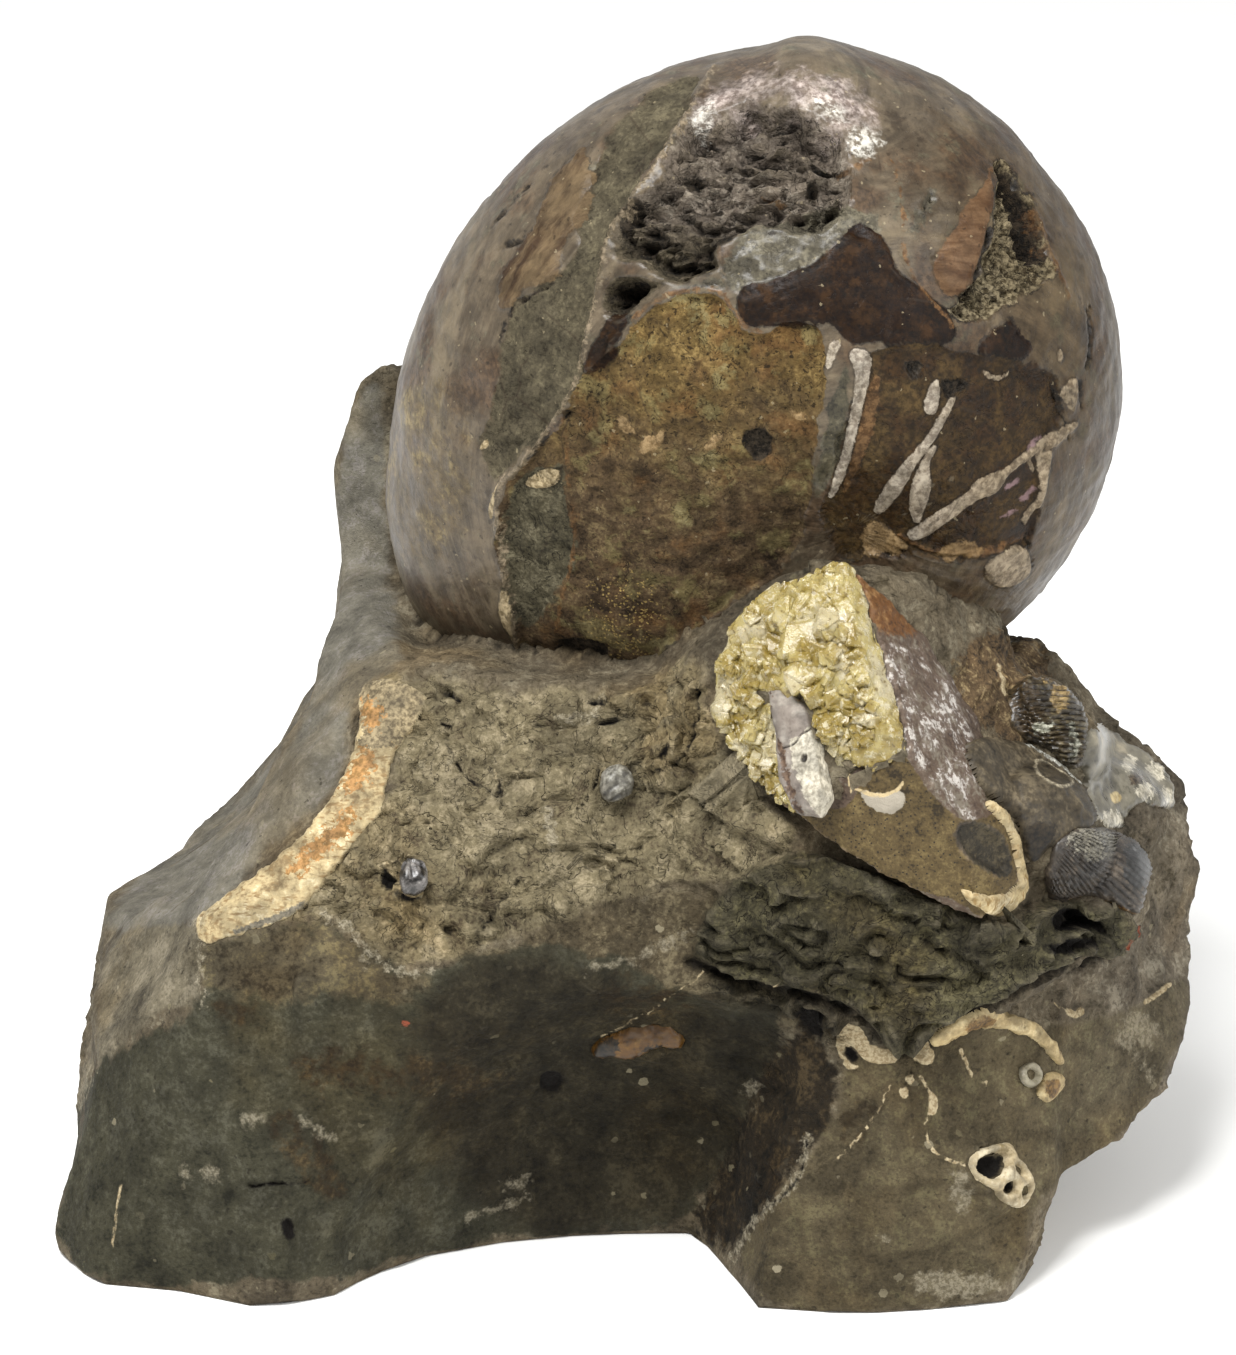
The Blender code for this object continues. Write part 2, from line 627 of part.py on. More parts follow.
def make_strip(name, shape, surface):
    """A broken shell wall seen on edge, which follows the surface."""
    points, height, depth, color = shape
    strip = bmesh.new()
    rings = []
    for i, (x, z, half_width) in enumerate(points):
        x0, z0, _ = points[max(i - 1, 0)]
        x1, z1, _ = points[min(i + 1, len(points) - 1)]
        frame = surface.frame(x, z)
        along = (surface.hit(x1, z1)[0] - surface.hit(x0, z0)[0]).normalized()
        out = frame.col[2].xyz
        side = along.cross(out).normalized()
        centre = frame.translation
        section = [(-1, -depth), (-1, height * 0.5), (0, height), (1, height * 0.5), (1, -depth)]
        rings.append([strip.verts.new(centre + side * (s * half_width) + out * h) for s, h in section])
    count = len(rings[0])
    for near, far in zip(rings, rings[1:]):
        for i in range(count):
            k = (i + 1) % count
            strip.faces.new((near[i], near[k], far[k], far[i]))
    strip.faces.new(rings[0])
    strip.faces.new(rings[-1])
    return add_object(name, strip, stone_material(name, color, 0.7))


def make_rings(name, rings, surface):
    """Round shell walls that stand out of the stone a little, those of one name run together."""
    made = []
    for number, (place, radius, wall) in enumerate(rings):
        frame = surface.frame(*place)
        around, section = 12, 4
        loop = bmesh.new()
        rows = []
        for i in range(around):
            turn = Matrix.Rotation(2 * math.pi * i / around, 4, "Z")
            row = []
            for j in range(section):
                a = 2 * math.pi * j / section
                spot = turn @ Vector((radius + wall * math.cos(a), 0, 1.6 * wall * math.sin(a)))
                row.append(loop.verts.new(frame @ spot))
            rows.append(row)
        for i in range(around):
            for j in range(section):
                k, m = (i + 1) % around, (j + 1) % section
                loop.faces.new((rows[i][j], rows[k][j], rows[k][m], rows[i][m]))
        made.append(add_object(name if number == 0 else f"{name}_{number}", loop))
    first = made[0]
    first.data.materials.append(stone_material(name, RING_COLOR, 0.7))
    for other in made[1:]:
        boolean(first, as_guide(other), "UNION")
    settle(first)
    return first


def cut_sockets(thing, fossils, filled=()):
    """Cuts room for each fossil out of a thing that holds it."""
    for fossil in fossils:
        socket = grown(f"{thing.name}_{fossil.name}_socket", fossil, fossil in filled)
        boolean(thing, as_guide(socket), "DIFFERENCE", solver="MANIFOLD")
        settle(thing)


clear_scene()
block = make_block()
ammonite = make_ammonite()
fragment = make_fragment()
septum_plate = make_septum()
calcite = make_calcite(septum_plate)
front = Surface([block, fragment])
domes = {name: make_dome(name, shape, front) for name, shape in DOMES.items()}
strips = {name: make_strip(name, shape, front) for name, shape in STRIPS.items()}
rings = [make_rings(name, shape, front) for name, shape in RINGS.items()]
cut_sockets(calcite, [fragment])
cut_sockets(fragment, [strips["fragment_rim"]])
cut_sockets(domes["smooth_shell"], [fragment, strips["fragment_rim"]])
cut_sockets(domes["ribbed_ammonite"], [domes["smooth_shell"]])
cut_sockets(domes["ribbed_clam"], [domes["smooth_shell"]])
cut_sockets(domes["pearl_patch"], [domes["ribbed_ammonite"], domes["ribbed_clam"]])
rounded = [calcite, *domes.values()]
cut_sockets(block, [ammonite, fragment, *rounded, *strips.values(), *rings], filled=rounded)
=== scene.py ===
import math
import random

import bpy
import numpy as np
from mathutils import Matrix, Vector, noise
from mathutils.bvhtree import BVHTree


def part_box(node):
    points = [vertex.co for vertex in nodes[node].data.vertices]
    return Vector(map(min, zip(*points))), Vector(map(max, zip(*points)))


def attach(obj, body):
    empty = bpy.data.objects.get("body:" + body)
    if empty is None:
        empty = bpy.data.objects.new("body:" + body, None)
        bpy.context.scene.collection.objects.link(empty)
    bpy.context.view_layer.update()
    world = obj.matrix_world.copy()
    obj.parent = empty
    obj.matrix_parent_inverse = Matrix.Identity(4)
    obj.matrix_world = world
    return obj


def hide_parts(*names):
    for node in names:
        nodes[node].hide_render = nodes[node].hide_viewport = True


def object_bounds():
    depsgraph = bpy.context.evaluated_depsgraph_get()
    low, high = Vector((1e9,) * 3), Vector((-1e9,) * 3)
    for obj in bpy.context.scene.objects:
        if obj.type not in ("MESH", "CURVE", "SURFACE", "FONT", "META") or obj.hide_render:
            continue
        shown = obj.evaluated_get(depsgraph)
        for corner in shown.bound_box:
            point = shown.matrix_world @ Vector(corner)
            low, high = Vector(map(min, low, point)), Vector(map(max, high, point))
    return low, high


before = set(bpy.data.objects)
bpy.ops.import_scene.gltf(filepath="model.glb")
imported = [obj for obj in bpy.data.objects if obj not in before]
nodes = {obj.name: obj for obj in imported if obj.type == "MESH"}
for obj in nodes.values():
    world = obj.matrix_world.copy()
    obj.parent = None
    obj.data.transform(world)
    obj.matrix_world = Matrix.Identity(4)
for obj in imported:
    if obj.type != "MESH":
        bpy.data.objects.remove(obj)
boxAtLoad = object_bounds()
scene = bpy.context.scene
random.seed(7)

# The camera. Every size and place in this file is in mm.

look = {
    "aim": (0, 0, 93.9),  # mm, as every size and place in this file
    "distance": 1000,
    "elevation": 20,
    "lens": 147.6,
    "pixel": 0.18,  # size of one pixel of the 1236 x 1355 frame at the aim
    "middle": (618, 677.5),
}
farOff = 20  # how far outside every mark a surface counts as that faces away
tilt = math.radians(look["elevation"])
forward = np.array((0, math.cos(tilt), -math.sin(tilt)))
upward = np.array((0, math.sin(tilt), math.cos(tilt)))
eye = np.array(look["aim"]) - forward * look["distance"]


def framePixels(places):  # where places land in the camera's 1236 x 1355 frame
    away = places - eye
    depth = away @ forward
    across = away[:, 0] / depth * look["distance"] / look["pixel"]
    rise = (away @ upward) / depth * look["distance"] / look["pixel"]
    return np.stack([look["middle"][0] + across, look["middle"][1] - rise], 1)


def sightLine(pixel):
    across = (pixel[0] - look["middle"][0]) * look["pixel"]
    rise = (look["middle"][1] - pixel[1]) * look["pixel"]
    way = Vector(forward * look["distance"] + np.array((across, 0, 0)) + upward * rise)
    return Vector(eye), way.normalized()


# Marks: outlines, and lines with half-widths, as text in frame pixels.

def cornersOf(text):
    return np.array([corner.split(",") for corner in text.split()], float)


def roundedLine(text, closed):  # cuts the corners off twice
    points = cornersOf(text)
    for _ in range(2):
        ends = points if closed else points[:-1]
        after = np.roll(points, -1, 0) if closed else points[1:]
        cut = np.stack([ends * 0.75 + after * 0.25, ends * 0.25 + after * 0.75], 1).reshape(-1, 2)
        points = cut if closed else np.vstack([points[:1], cut, points[-1:]])
    return points


def nearestStep(spots, start, end):
    step = end - start
    share = np.clip((spots - start) @ step / max(step @ step, 1e-9), 0, 1)
    gap = spots - start - share[:, None] * step
    return np.hypot(gap[:, 0], gap[:, 1])


def insideBy(spots, outline):  # mm that each spot lies inside the outline, and less than 0 outside
    corners = roundedLine(outline, True)
    nearest = np.full(len(spots), 1e9)
    inside = np.zeros(len(spots), bool)
    for start, end in zip(corners, np.roll(corners, -1, 0)):
        nearest = np.minimum(nearest, nearestStep(spots, start, end))
        if start[1] != end[1]:
            crossing = start[0] + (spots[:, 1] - start[1]) / (end[1] - start[1]) * (end[0] - start[0])
            inside ^= ((start[1] > spots[:, 1]) != (end[1] > spots[:, 1])) & (spots[:, 0] < crossing)
    return np.where(inside, nearest, -nearest) * look["pixel"]


def alongBy(spots, line, halfWidth):  # the same for a stroke
    points = roundedLine(line, False)
    nearest = np.full(len(spots), 1e9)
    for start, end in zip(points[:-1], points[1:]):
        nearest = np.minimum(nearest, nearestStep(spots, start, end))
    return (halfWidth - nearest) * look["pixel"]


def markBy(spots, mark):
    found = [insideBy(spots, one) if isinstance(one, str) else alongBy(spots, *one) for one in mark]
    return np.max(found, axis=0)


def ease(values, low, high):
    share = np.clip((values - low) / (high - low), 0, 1)
    return share * share * (3 - 2 * share)


def rough(places, size, octaves=4, seed=0.0, stretch=(1, 1, 1)):  # soft noise, about -1 to 1
    spots = (places * np.array(stretch) / size + seed * 13.7).tolist()
    return np.array([noise.fractal(spot, 1.0, 2.0, octaves) for spot in spots])


def ridges(places, size, octaves=4, seed=0.0, stretch=(1, 1, 1)):  # sharp crests, about 0 to 1
    spots = (places * np.array(stretch) / size + seed * 13.7).tolist()
    return np.array([noise.ridged_multi_fractal(spot, 0.9, 2.1, octaves, 1.0, 2.0) for spot in spots]) * 0.5


def scales(places, size, levels, seed, stretch=(1, 1, 1)):  # slanting steps with sharp edges, about -1 to 1
    level = rough(places, size, 3, seed, stretch) * levels
    share = level - np.floor(level)
    return np.where(share < 0.88, share / 0.88, (1 - share) / 0.12) * 2 - 1


# Pieces.

def onlySelect(*pieces):
    bpy.ops.object.select_all(action="DESELECT")
    for piece in reversed(pieces):
        piece.select_set(True)
    bpy.context.view_layer.objects.active = pieces[0]


def placesOf(piece):
    spots = np.zeros(len(piece.data.vertices) * 3)
    piece.data.vertices.foreach_get("co", spots)
    return spots.reshape(-1, 3) * 1000


def movePlaces(piece, places):
    piece.data.vertices.foreach_set("co", (places / 1000).ravel())
    piece.data.update()


def normalsOf(piece):
    found = np.zeros(len(piece.data.vertices) * 3)
    piece.data.vertices.foreach_get("normal", found)
    return found.reshape(-1, 3)


def storeMarks(piece, found):
    for name, values in found.items():
        layer = piece.data.attributes.get(name) or piece.data.attributes.new(name, "FLOAT", "POINT")
        layer.data.foreach_set("value", values.astype(np.float32))


def nearOnly(found):  # marks cut to a range that the shaders can use
    return {name: np.clip(values, -farOff, farOff) for name, values in found.items()}


def insideBox(places):
    low, high = (np.array(corner) * 1000 for corner in boxAtLoad)
    return np.clip(places, low, high)


def applyStep(piece, kind, **settings):
    onlySelect(piece)
    step = piece.modifiers.new(kind.lower(), kind)
    for key, value in settings.items():
        setattr(step, key, value)
    bpy.ops.object.modifier_apply(modifier=step.name)


def editMesh(piece, steps):  # runs mesh operators on all of a piece
    onlySelect(piece)
    bpy.ops.object.mode_set(mode="EDIT")
    bpy.ops.mesh.select_all(action="SELECT")
    for operator, settings in steps.items():
        getattr(bpy.ops.mesh, operator)(**settings)
    bpy.ops.object.mode_set(mode="OBJECT")


def evenMesh(piece, voxel, rounds):
    applyStep(piece, "REMESH", mode="VOXEL", voxel_size=voxel / 1000)
    applyStep(piece, "SMOOTH", factor=0.5, iterations=rounds)


def copyOf(pieceName, *names, swell=0.0):  # CAD nodes copied into one piece with their doubles merged
    made = []
    for name in names:
        piece = bpy.data.objects.new(pieceName, nodes[name].data.copy())
        piece.data.materials.clear()
        scene.collection.objects.link(piece)
        merging = {"remove_doubles": {"threshold": 0.00002}}
        editMesh(piece, merging | {"normals_make_consistent": {"inside": False}})
        if piece.data.has_custom_normals:
            bpy.ops.mesh.customdata_custom_splitnormals_clear()
        if swell:
            applyStep(piece, "DISPLACE", strength=swell / 1000, mid_level=0)
        made.append(piece)
    if len(made) > 1:
        onlySelect(*made)
        bpy.ops.object.join()
    made[0].name = pieceName
    return made[0]


def treeOf(piece):
    piece.data.calc_loop_triangles()
    triangles = [triangle.vertices[:] for triangle in piece.data.loop_triangles]
    return BVHTree.FromPolygons(placesOf(piece).tolist(), triangles)


def faceFront(piece):  # 1 where a surface faces the camera, 0 where it turns away
    towards = -(normalsOf(piece) @ forward)
    return ease(towards, -0.05, 0.15)


def settle(piece, material, replaced, smoothAngle=60):
    piece.data.materials.clear()
    piece.data.materials.append(material)
    onlySelect(piece)
    bpy.ops.object.shade_smooth_by_angle(angle=math.radians(smoothAngle))
    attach(piece, "root")
    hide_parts(*replaced)
    piece.data.calc_loop_triangles()
    print("made", piece.name, len(piece.data.loop_triangles), "triangles")


# Shader tools.

def tint(code):  # a screen colour such as "8a7f6a" as a shader colour
    parts = [int(code[i:i + 2], 16) / 255 for i in (0, 2, 4)]
    return tuple(((p + 0.055) / 1.055) ** 2.4 if p > 0.04045 else p / 12.92 for p in parts) + (1,)


# Benches take a colour as a code, a node's output, (code, code) mottled by finer, (size, dark, mid, light)
# for stone grain, or four numbers that the colour below is multiplied by. They take a share as a number,
# a node's output, (output, low, high, start, end) eased between two values, or
# (area, wander, soft, size, rim) for an area with a ragged edge and, above a rim of 0, a dark broken border.
class Bench:  # puts nodes into one tree
    def __init__(self, tree):
        self.tree = tree
        self.count = 0
        self.place = None
        self.edges = (0.5, 0.15, 1.5, 0)
        self.pores = 0.3
        self.finer = self.patchy = None

    def put(self, kind, values=None, **settings):
        made = self.tree.nodes.new("ShaderNode" + kind)
        for key, value in settings.items():
            setattr(made, key, value)
        for key, value in (values or {}).items():
            self.feed(made.inputs[key], value)
        made.location = (self.count % 14 * 180, -(self.count // 14) * 280)
        self.count += 1
        return made

    def feed(self, socket, value):
        if isinstance(value, bpy.types.NodeSocket):
            self.tree.links.new(value, socket)
        else:
            socket.default_value = value

    def where(self):  # object coordinates in mm
        if self.place is None:
            spot = self.put("TexCoord").outputs["Object"]
            self.place = self.put("VectorMath", {0: spot, "Scale": 1000}, operation="SCALE").outputs[0]
        return self.place

    def axes(self):
        return self.put("SeparateXYZ", {0: self.where()}).outputs

    def stretched(self, scale, turn=(0, 0, 0)):
        values = {"Vector": self.where(), "Scale": scale, "Rotation": turn}
        return self.put("Mapping", values).outputs[0]

    def scaleFor(self, size, share=1.0):
        given = isinstance(size, bpy.types.NodeSocket)
        return self.maths("DIVIDE", share, size) if given else share / size

    def cloud(self, size, detail=3, roughness=0.55, at=None, distortion=0, share=1.0):
        values = {"Vector": at or self.where(), "Scale": self.scaleFor(size, share), "Detail": detail}
        values |= {"Roughness": roughness, "Distortion": distortion}
        return self.put("TexNoise", values).outputs["Fac"]

    def cells(self, size, feature="F1", at=None):
        values = {"Vector": at or self.where(), "Scale": self.scaleFor(size)}
        return self.put("TexVoronoi", values, feature=feature).outputs

    def mark(self, name):
        return self.put("Attribute", attribute_name=name).outputs["Fac"]

    def group(self, tree, **values):
        made = self.put("Group", node_tree=tree)
        for key, value in values.items():
            self.feed(made.inputs[key], value)
        return made.outputs

    def maths(self, operation, first, second=0.0):
        return self.put("Math", {0: first, 1: second}, operation=operation).outputs[0]

    def joined(self, operation, values):
        total, *others = [self.share(value) for value in values]
        for value in others:
            total = self.maths(operation, total, value)
        return total

    def times(self, *values):
        return self.joined("MULTIPLY", values)

    def plus(self, *values):
        return self.joined("ADD", values)

    def minus(self, *values):
        return self.joined("SUBTRACT", values)

    def most(self, *values):
        return self.joined("MAXIMUM", values)

    def within(self, *names):  # 1 inside each area
        return [self.maths("GREATER_THAN", self.mark(name)) for name in names]

    def between(self, value, low, high, start=0.0, end=1.0):
        values = {"Value": value, "From Min": low, "From Max": high, "To Min": start, "To Max": end}
        return self.put("MapRange", values, interpolation_type="SMOOTHSTEP").outputs[0]

    def cut(self, name, *edges):  # the mask, border and strength of border of an area
        wander, soft, size, rim = edges + self.edges[len(edges):]
        mask, border = self.group(ragged, Inside=self.mark(name), Wander=wander, Soft=soft, Size=size)
        return mask, border, rim

    def share(self, value):
        if not isinstance(value, tuple):
            return value
        return self.cut(*value)[0] if isinstance(value[0], str) else self.between(*value)

    def shade(self, value, under=None):
        if isinstance(value, str):
            return tint(value)
        if not isinstance(value, tuple):
            return value
        if len(value) == 2:
            return self.over(*value, (self.finer, 0.38, 0.62))
        if isinstance(value[1], str):
            return self.grained(*value)[0]
        return self.blend(1.0, under, value, "MULTIPLY") if under else value

    def grained(self, size, dark, mid, light):
        tints = {"Dark": tint(dark), "Mid": tint(mid), "Light": tint(light)}
        return self.group(grain, Size=size, Pores=self.pores, **tints)

    def blend(self, share, first, second, blend="MIX"):
        values = {0: share, 6: first, 7: second}
        return self.put("Mix", values, data_type="RGBA", blend_type=blend).outputs[2]

    def over(self, under, upper, *shares):  # one colour over another, by the product of the shares
        under = self.shade(under)
        if isinstance(shares[0], tuple) and isinstance(shares[0][0], str):
            mask, border, rim = self.cut(*shares[0])
            shares = (mask,) + shares[1:]
            if rim:
                under = self.over(under, "17120c", border, rim, (self.patchy, 0.38, 0.58))
        multiplied = isinstance(under, bpy.types.NodeSocket) and under
        return self.blend(self.times(*shares), under, self.shade(upper, multiplied))

    def layers(self, colour, rows):
        for upper, *shares in rows:
            colour = self.over(colour, upper, *shares)
        return colour

    def soiled(self, colour, share):  # darker and lighter by a cloud
        grey = self.put("CombineColor", {channel: self.share(share) for channel in range(3)}).outputs[0]
        return self.blend(1.0, colour, grey, "MULTIPLY")


def newGroup(name, inputs, outputs):
    tree = bpy.data.node_groups.new(name, "ShaderNodeTree")
    kinds = {float: "NodeSocketFloat", tuple: "NodeSocketColor"}
    for key, value in inputs.items():
        made = tree.interface.new_socket(key, in_out="INPUT", socket_type=kinds[type(value)])
        made.default_value = value
    for key, kind in outputs.items():
        tree.interface.new_socket(key, in_out="OUTPUT", socket_type="NodeSocket" + kind)
    given = tree.nodes.new("NodeGroupInput").outputs
    return tree, Bench(tree), given, tree.nodes.new("NodeGroupOutput").inputs


# Grain of stone, in three sizes, with pores.
grain, bench, given, out = newGroup(
    "stoneGrain",
    {"Size": 1.0, "Dark": tint("3a342a"), "Mid": tint("7a7260"), "Light": tint("a79c85"), "Pores": 0.3},
    {"Color": "Color", "Height": "Float"},
)
fine, wider, widest = (
    bench.cloud(given["Size"], detail, 0.62, None, warp, share)
    for share, detail, warp in ((1.0, 3, 0.0), (0.24, 4, 0.5), (0.07, 4, 0.8))
)
both = bench.plus(bench.times(fine, 0.34), bench.times(wider, 0.33), bench.times(widest, 0.33))
pore = bench.times((fine, 0.42, 0.34), (wider, 0.5, 0.6), given["Pores"])
bench.feed(out["Color"], bench.layers(given["Dark"], [
    (given["Mid"], (both, 0.38, 0.5)),
    (given["Light"], (both, 0.5, 0.6)),
    ("14110c", pore),
]))
bench.feed(out["Height"], both)

# Specks in stray cells.
flecks, bench, given, out = newGroup(
    "flecks", {"Size": 2.0, "Amount": 0.1}, {"Mask": "Float", "Shade": "Float"},
)
wander = bench.put("TexNoise", {"Vector": bench.where(), "Scale": 0.9, "Detail": 2}).outputs["Color"]
push = bench.put("VectorMath", {0: wander, "Scale": 1.4}, operation="SCALE").outputs[0]
spot = bench.put("VectorMath", {0: bench.where(), 1: push}, operation="ADD").outputs[0]
cell = bench.cells(given["Size"], at=spot)
colour = bench.put("SeparateColor", {0: cell["Color"]}).outputs
chosen = bench.maths("LESS_THAN", colour[0], given["Amount"])
reach = bench.put("Math", {0: colour[1], 1: 0.25, 2: 0.12}, operation="MULTIPLY_ADD").outputs[0]
bench.feed(out["Mask"], bench.times(chosen, (bench.minus(reach, cell["Distance"]), 0.0, 0.06)))
bench.feed(out["Shade"], colour[2])

# The mask of an area from the depth inside it, and the border along it.
ragged, bench, given, out = newGroup(
    "raggedEdge", {"Inside": 0.0, "Wander": 0.6, "Soft": 0.15, "Size": 1.5},
    {"Mask": "Float", "Rim": "Float"},
)
stray = bench.cloud(given["Size"], 4, 0.65)
offset = bench.times(bench.minus(stray, 0.5), bench.times(given["Wander"], 4.0))
shifted = bench.plus(given["Inside"], offset)
span = {"Value": shifted, "From Min": bench.times(given["Soft"], -1.0), "From Max": given["Soft"]}
bench.feed(out["Mask"], bench.put("MapRange", span, interpolation_type="SMOOTHSTEP").outputs[0])
bench.feed(out["Rim"], bench.between(bench.maths("ABSOLUTE", bench.plus(shifted, 0.12)), 0.38, 0.08))

# Edges that wear pale, and painted shade that darkens the hollows.
edgeWearAndHollowShade, bench, given, out = newGroup(
    "wornEdgesAndHollowShade", {"Start": 0.52, "End": 0.6}, {"Edge": "Float", "Hollow": "Float"},
)
point = bench.put("NewGeometry").outputs["Pointiness"]
edge = bench.put("MapRange", {"Value": point, "From Min": given["Start"], "From Max": given["End"]})
bench.feed(out["Edge"], edge.outputs[0])
bench.feed(out["Hollow"], bench.between(point, 0.47, 0.40))

# Slanting steps, and the dark lines along their drops: cracks, and painted shade below each step.
broken, bench, given, out = newGroup(
    "brokenScales", {"Size": 6.0, "Levels": 5.0}, {"Height": "Float", "Crack": "Float"},
)
layer = bench.cloud(given["Size"], 4, 0.58, None, 0.5)
share = bench.maths("FRACT", bench.times(layer, given["Levels"]))
bench.feed(out["Height"], bench.minus(share, (share, 0.9, 1.0)))
bench.feed(out["Crack"], bench.times((share, 0.84, 0.94), (share, 1.0, 0.97)))

# Tiny grains, a share of them lit.
glint, bench, given, out = newGroup("glints", {"Size": 0.5, "Amount": 0.2}, {"Mask": "Float"})
cell = bench.put("SeparateColor", {0: bench.cells(given["Size"])["Color"]})
bench.feed(out["Mask"], bench.maths("LESS_THAN", cell.outputs[0], given["Amount"]))


def newMaterial(name, **shader):
    material = bpy.data.materials.new(name)
    material.use_nodes = True
    surface = material.node_tree.nodes["Principled BSDF"]
    for key, value in shader.items():
        surface.inputs[key.replace("_", " ")].default_value = value
    return material, Bench(material.node_tree), surface


def finishSurface(bench, surface, colour, roughness, height, depth, strength, coat=0.0):
    bench.feed(surface.inputs["Base Color"], colour)
    bench.feed(surface.inputs["Roughness"], bench.share(roughness))
    bench.feed(surface.inputs["Coat Weight"], coat)
    bump = bench.put("Bump", {"Height": height, "Distance": depth / 1000, "Strength": strength})
    bench.feed(surface.inputs["Normal"], bump.outputs[0])


print("tools ready")

# The ammonite.

conch = {
    "centre": (40.6, 15, 144.5),
    "dip": 18,  # degrees that the axis sinks towards the front
    "radii": [  # by the angle round the coil, 0 to the right and 90 up
        (0, 49.5), (45, 52.5), (75, 59.3), (90, 62.6), (135, 70.2), (160, 74.6), (185, 81.5), (212, 91),
        (240, 84), (275, 60), (315, 52),
    ],
    "halfWidth": 50,
    "lip": (97, 9, 3.4),
    "roundness": 0.92,
    "navel": (5, 0.26),
    "segments": 420,
    "rings": 236,
    "frontShare": 0.72,  # share of the rings on the side that shows
    "filling": (0.8, 0, 1.0, (0.5, rough, 3, 5, 1)),  # rows as in relief below
    "hollow": (
        1.8, 0, 6.52, (2.2, rough, 10, 3, 2, (0.6, 1, 1.4)), (-4.2, ridges, 5.5, 4, 63, (0.6, 1, 1.5)),
        (1.0, scales, 7, 2, 66, (0.6, 1, 1.5)), (0.35, rough, 1.6, 3, 67),
    ),
    "relief": {  # by mark: slope of its edge, where the edge starts, depth, and what varies the depth
        "pits": (1.6, 0, 2.0, (0.8, scales, 4, 2, 70)),
        "gash": (1.0, 0, 1.8, (0.9, scales, 3, 2, 3)),
        "gashDark": (1.0, 0, 2.4),
        "chamber": (0.6, 0, 0.9),
        "stone": (0.9, 0, 0.6, (0.3, scales, 7, 1.6, 4)),
        "rubble": (1.0, 0, 1.44, (0.5, rough, 4, 4, 68), (-1.4, ridges, 4, 4, 69)),
        "darkPit": (0.5, 0, 1.0),
        "greyStrip": (0.6, 0, 0.5),
        "cream": (0.35, 0, -0.45),
        "seam": (0.35, -0.2, -0.55),
        "orange": (0.35, -0.1, -0.3),
        "flake": (0.4, 0, -0.6, (-0.25, scales, 7, 1.6, 64)),
        "silk": (0.8, 0, -0.9),
        "darkBrown": (0.5, 0, -0.55, (-0.25, rough, 5, 3, 65)),
        "pinkSpots": (0.5, 0, -0.3),
        "lilac": (0.8, 0, -0.25),
    },
    "growth": 0.16,  # how deep the lines of growth are
    "swells": (0.35, rough, 14, 3, 6),
    "smallRelief": (0.11, rough, 2.6, 3, 7),
    "peeling": 0.7,  # how deep the outer shell is lost in patches on the far side
    "tallest": 1.6,  # how far relief may rise
    "fineEdges": ("pits", "seam", "cream", "pinkSpots", "orange", "darkPit", "pink", "paintedGlints", "gashDark"),
}

